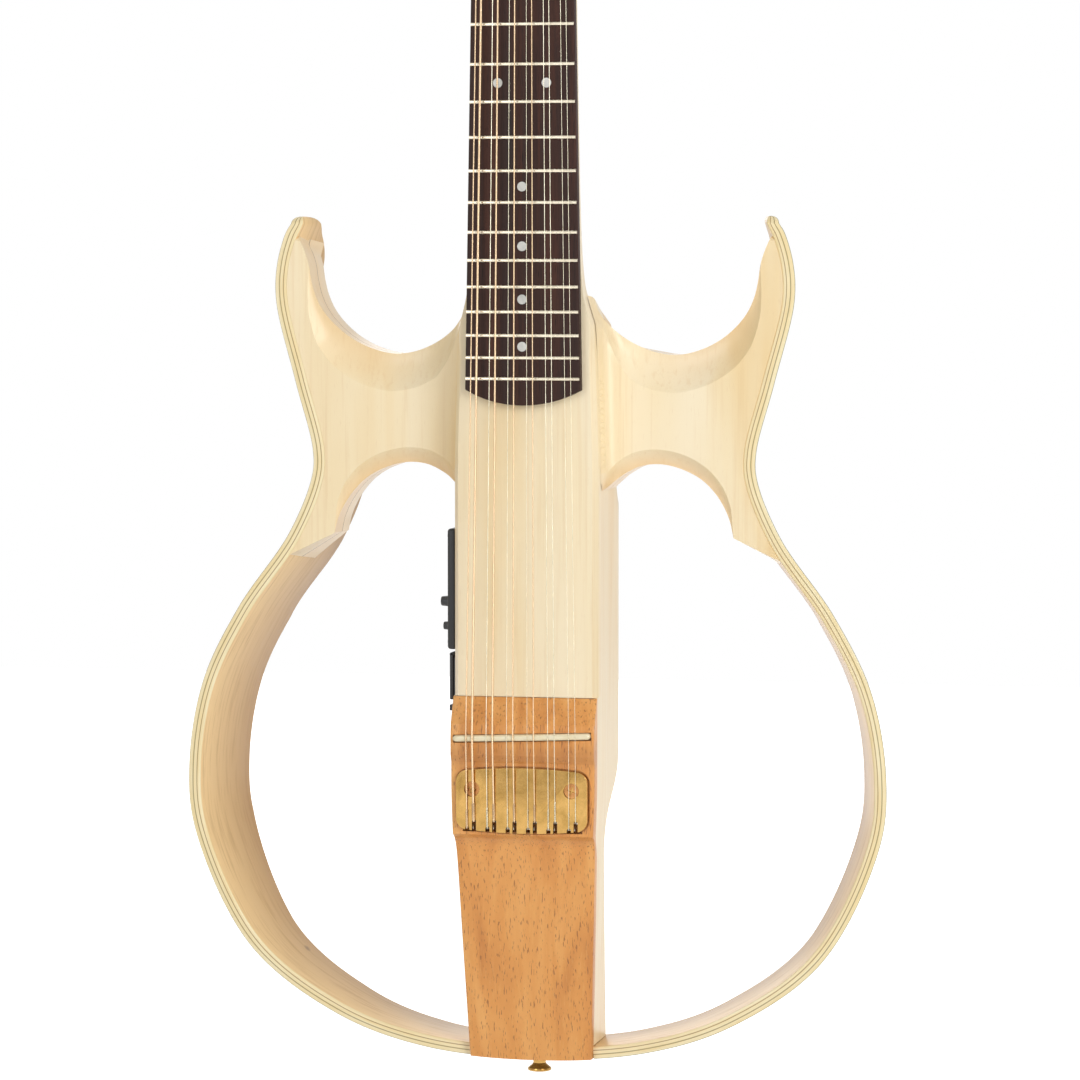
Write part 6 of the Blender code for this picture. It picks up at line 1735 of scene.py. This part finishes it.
def rim_finish():
    """Bent maple plies: brown glue lines, a painted shade on the outer edge, tan walls painted
    darker to the back as shade, a knot.
    """
    wood = Finish("maple_plies_bent", tone(247, 229, 190), 0.38, Coat_Weight=0.2,
                  Coat_Roughness=0.25)
    across, along, depth = wood.number("across"), wood.number("along"), wood.axis("Y")
    course = wood.add("CombineXYZ", {"X": wood.maths("MULTIPLY", along, 14.0),
                                     "Y": wood.maths("MULTIPLY", depth, 420.0),
                                     "Z": wood.maths("MULTIPLY", across, 3.0)})
    grain = wood.add("TexNoise", {"Vector": course, "Scale": 1.0, "Detail": 5.0, "Roughness": 0.6})
    front = wood.ramp(grain, (0.3, tone(253, 240, 200)), (0.7, tone(243, 219, 162)))
    # Painted shade: the walls go darker towards the back
    wall = wood.mix(wood.span(depth, RIM_FRONT_Y, RIM_FRONT_Y + RIM_DEPTH), tone(250, 214, 154),
                    tone(180, 134, 70))
    wall = wood.stain(wall, grain, 0.50, 0.72, 0.45, tone(170, 124, 70))
    on_wall = wood.span(wood.maths("ABSOLUTE", wood.maths("SUBTRACT", across, 0.5)), 0.485, 0.4995)
    color = wood.mix(on_wall, front, wall)
    # The last of these marks is a painted shade along the rounded outer edge, not a glue line
    for share, half, paint in GLUE_LINES_AND_EDGE_SHADE:
        color = wood.tint(color, wood.band(across, share, half), 0.8, tone(*paint))
    knot = wood.add("VectorMath", {0: wood.where, 1: tuple(place(*KNOT))}, "Value",
                    operation="DISTANCE")
    color = wood.stain(color, knot, 0.0034, 0.0016, 0.85, tone(92, 58, 32))
    return wood.finished(color, grain, 0.33, 0.46, grain, 0.06, 0.0002)


def end_grain_finish():
    wood = Finish("maple_end_grain", tone(210, 166, 108), 0.55)
    pores = wood.noise((900, 900, 900), 3.0, 0.7)
    color = wood.ramp(pores, (0.35, tone(180, 132, 80)), (0.6, tone(212, 168, 110)))
    wood.feed("Base Color", color)
    wood.bump(pores, 0.15, 0.0003)
    return wood.material


def beech_finish():
    """Orange beech with short dark flecks, and a band of painted shade below the saddle."""
    wood = Finish("beech_orange", tone(224, 152, 76), 0.36, Coat_Weight=0.2, Coat_Roughness=0.25)
    broad = wood.noise((70, 70, 7), 3.0, 0.5, 0.8)
    color = wood.ramp(broad, (0.28, tone(238, 174, 98)), (0.5, tone(226, 154, 76)),
                      (0.74, tone(204, 130, 58)))
    flecks = wood.noise((1500, 1500, 215), 1.5, 0.5, turn=(0.0, 0.28, 0.0))
    color = wood.stain(color, flecks, 0.61, 0.68, 0.72, tone(140, 78, 34))
    rays = wood.noise((900, 900, 60), 3.0, 0.6)
    color = wood.stain(color, rays, 0.55, 0.75, 0.30, tone(244, 190, 116))
    # Painted shade in a band below the saddle, darkest in its middle
    below = wood.maths("SUBTRACT", wood.axis("Z"), SADDLE_Z - SHADE_REACH)
    shade = wood.span(wood.maths("ABSOLUTE", below), SHADE_REACH, 0.0020)
    color = wood.tint(color, shade, 0.32, tone(150, 88, 40))
    return wood.finished(color, rays, 0.30, 0.44, flecks, 0.05, 0.0002)


def rosewood_finish():
    wood = Finish("rosewood_dark", tone(58, 36, 29), 0.52, Specular_IOR_Level=0.22)
    broad = wood.noise((160, 160, 5), 4.0, 0.6, 0.5)
    color = wood.ramp(broad, (0.25, tone(32, 20, 17)), (0.5, tone(54, 32, 26)),
                      (0.78, tone(84, 50, 38)))
    pores = wood.noise((2600, 2600, 120), 2.0, 0.5)
    color = wood.stain(color, pores, 0.60, 0.70, 0.8, tone(20, 12, 10))
    return wood.finished(color, broad, 0.44, 0.60, pores, 0.25, 0.0002)


def bone_finish(name, color, paler):
    bone = Finish(name, color, 0.32, Coat_Weight=0.15)
    cloud = bone.noise((130, 130, 130), 4.0, 0.6, 0.4)
    fine = bone.noise((1800, 1800, 1800), 2.0)
    shade = bone.ramp(cloud, (0.3, paler), (0.7, color))
    return bone.finished(shade, cloud, 0.26, 0.40, fine, 0.03, 0.0001)


def metal_finish(name, bright, dull, roughness):
    """A metal with faint clouding, soft wear and fine polishing marks."""
    metal = Finish(name, bright, roughness, 1.0)
    cloud = metal.noise((95, 95, 95), 4.0, 0.6, 0.3)
    marks = metal.noise((700, 700, 700), 3.0, 0.6)
    color = metal.ramp(cloud, (0.35, bright), (0.75, dull))
    return metal.finished(color, marks, roughness * 0.75, roughness * 1.35, marks, 0.03, 0.0001)


def wound_finish():
    """Bronze winding: fine turns across the string."""
    metal = Finish("wound_bronze", tone(190, 132, 86), 0.3, 1.0)
    turns = metal.add("TexWave", {"Vector": metal.where, "Scale": 620.0, "Distortion": 0.0}, 1,
                      wave_type="BANDS", bands_direction="Z")
    color = metal.ramp(turns, (0.1, tone(168, 136, 104)), (0.7, tone(240, 214, 176)))
    return metal.finished(color, turns, 0.42, 0.26, turns, 0.5, 0.0001, ends=(0.0, 1.0))


def plastic_finish(name, color, lighter, roughness):
    """Moulded plastic with a fine matt texture."""
    shell = Finish(name, color, roughness)
    cloud = shell.noise((60, 60, 60), 3.0)
    pebble = shell.noise((2600, 2600, 2600), 2.0, 0.5)
    shade = shell.ramp(cloud, (0.35, color), (0.75, lighter))
    return shell.finished(shade, pebble, roughness * 0.85, roughness * 1.2, pebble, 0.12, 0.0001)


def battery_finish():
    """A dark jacket with a copper-coloured far end."""
    dark = tone(46, 48, 52)
    jacket = Finish("battery_jacket", dark, 0.32, 0.6)
    far = jacket.span(jacket.axis("X"), 0.0025, 0.0035)
    scuffs = jacket.noise((300, 300, 300), 4.0, 0.7)
    color = jacket.stain(jacket.mix(far, dark, tone(176, 132, 84)), scuffs, 0.6, 0.8, 0.3,
                         tone(150, 150, 150))
    return jacket.finished(color, scuffs, 0.26, 0.42, scuffs, 0.05, 0.0002)


def straight_rays(nodes, links):
    """1 for rays seen directly, in a reflection or through glass, and 0 for scattered light."""
    path = nodes.new("ShaderNodeLightPath").outputs
    share = path["Is Camera Ray"]
    for ray in ("Is Glossy Ray", "Is Transmission Ray"):
        most = nodes.new("ShaderNodeMath")
        share = dress(most, links, {0: share, 1: path[ray]}, {"operation": "MAXIMUM"}).outputs[0]
    return share


def floor_finish():
    """A pale floor that the camera sees near white, with the object's soft shadow kept."""
    floor = Finish("pale_floor", (0.92, 0.92, 0.92, 1.0), 0.9)
    output = floor.nodes["Material Output"]
    seen = straight_rays(floor.nodes, floor.links)
    glow = floor.add("Emission", {"Color": WHITE,
                                  "Strength": floor.maths("MULTIPLY", seen, FLOOR_GLOW)})
    both = floor.add("AddShader", {0: floor.shader.outputs[0], 1: glow})
    floor.links.new(both, output.inputs["Surface"])
    return floor.material


# Floor, light and camera

def make_stage():
    half = FLOOR_SIZE / 2
    mesh = bpy.data.meshes.new("floor")
    mesh.from_pydata([(-half, -half, FLOOR_Z), (half, -half, FLOOR_Z), (half, half, FLOOR_Z),
                      (-half, half, FLOOR_Z)], [], [(0, 1, 2, 3)])
    floor = link(bpy.data.objects.new("pale_floor", mesh))
    mesh.materials.append(floor_finish())


def make_lamp(name, place_at, aim, size, power):
    light = bpy.data.lights.new(name, "AREA")
    light.shape = "RECTANGLE"
    light.size, light.size_y = size
    light.energy = power
    lamp = link(bpy.data.objects.new(name, light))
    lamp.location = place_at
    lamp.rotation_euler = (Vector(aim) - Vector(place_at)).to_track_quat("-Z", "Y").to_euler()


def make_light():
    for name, stand, size, power in LAMPS:
        make_lamp(name, stand, place(*LAMP_AIM), size, power)
    world = bpy.data.worlds.new("studio")
    bpy.context.scene.world = world
    world.use_nodes = True
    nodes, links = world.node_tree.nodes, world.node_tree.links
    sky = nodes["Background"]
    level = dress(nodes.new("ShaderNodeMapRange"), links,
                  {"Value": straight_rays(nodes, links), "To Min": WORLD_LIGHT, "To Max": 1.0}, {})
    dress(sky, links, {"Color": WHITE, "Strength": level.outputs[0]}, {})


def make_camera():
    target = Vector(CAMERA_TARGET)
    flat = cos(CAMERA_ELEVATION)
    away = Vector((sin(CAMERA_AZIMUTH) * flat, -cos(CAMERA_AZIMUTH) * flat, sin(CAMERA_ELEVATION)))
    data = bpy.data.cameras.new("camera")
    data.lens = CAMERA_LENS
    data.sensor_width = CAMERA_SENSOR
    camera = link(bpy.data.objects.new("camera", data))
    camera.location = target + CAMERA_DISTANCE * away
    camera.rotation_euler = (-away).to_track_quat("-Z", "Y").to_euler()
    bpy.context.scene.camera = camera


def build():
    bpy.context.scene.view_settings.view_transform = "Standard"
    maple = maple_finish("maple_pale", False)
    wing_maple = maple_finish("maple_wings", True)
    end_grain = end_grain_finish()
    beech = beech_finish()
    rosewood = rosewood_finish()
    bone = bone_finish("bone_polished", tone(236, 220, 176), tone(247, 236, 204))
    pearl = bone_finish("pearl_inlay", tone(196, 196, 190), tone(232, 230, 224))
    gold = metal_finish("gold_polished", tone(196, 156, 92), tone(160, 124, 64), 0.17)
    gold_pale = metal_finish("gold_pale", tone(232, 202, 146), tone(206, 172, 112), 0.18)
    gold_satin = metal_finish("gold_satin", tone(196, 142, 88), tone(150, 98, 58), 0.30)
    nickel = metal_finish("fret_nickel", tone(232, 222, 202), tone(204, 194, 172), 0.24)
    steel = metal_finish("plain_wire_steel", tone(232, 226, 204), tone(200, 192, 166), 0.26)
    dark_steel = metal_finish("dark_steel", tone(120, 118, 116), tone(86, 84, 82), 0.34)
    bright_steel = metal_finish("ball_steel", tone(222, 218, 206), tone(170, 164, 150), 0.22)
    bronze = wound_finish()
    black = plastic_finish("black_plastic_matt", tone(24, 24, 26), tone(34, 34, 36), 0.46)
    knob_black = plastic_finish("knob_black", tone(30, 30, 32), tone(44, 44, 46), 0.34)
    cream = plastic_finish("cream_line", tone(232, 230, 222), tone(240, 238, 232), 0.5)
    lamp_red = plastic_finish("lamp_red", tone(120, 18, 16), tone(150, 30, 26), 0.2)
    brass = metal_finish("pickup_brass", tone(206, 168, 96), tone(150, 116, 62), 0.34)

    make_rim(rim_finish(), end_grain)
    for side_name, side in (("bass", -1), ("treble", 1)):
        make_wing_front(side_name, side, wing_maple)
        make_wing_back(side_name, side, wing_maple)
    make_neck_beam(maple)
    make_bridge_block(beech)
    make_saddle(bone)
    make_tailpiece(gold, gold_satin)
    make_fingerboard(rosewood, nickel, pearl)
    make_nut(bone)
    make_strings(steel, bronze, bright_steel)
    make_posts(gold_pale, gold_pale)
    make_buttons(gold_pale)
    make_tuner_plates(gold_pale, gold_satin)
    make_truss_cover(black, gold_satin)
    make_preamp(black, dark_steel, lamp_red)
    make_knobs(knob_black, cream)
    make_battery_door(black)
    make_battery_cell(battery_finish())
    make_jack(gold_pale)
    make_strap_button(gold)
    make_back_cover(black, dark_steel)
    for name, finish in (("battery_box", black), ("saddle_pickup", brass),
                         ("truss_rod", dark_steel)):
        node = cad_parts[name]
        node.data.materials.clear()
        node.data.materials.append(finish)
    make_stage()
    make_light()
    make_camera()


build()
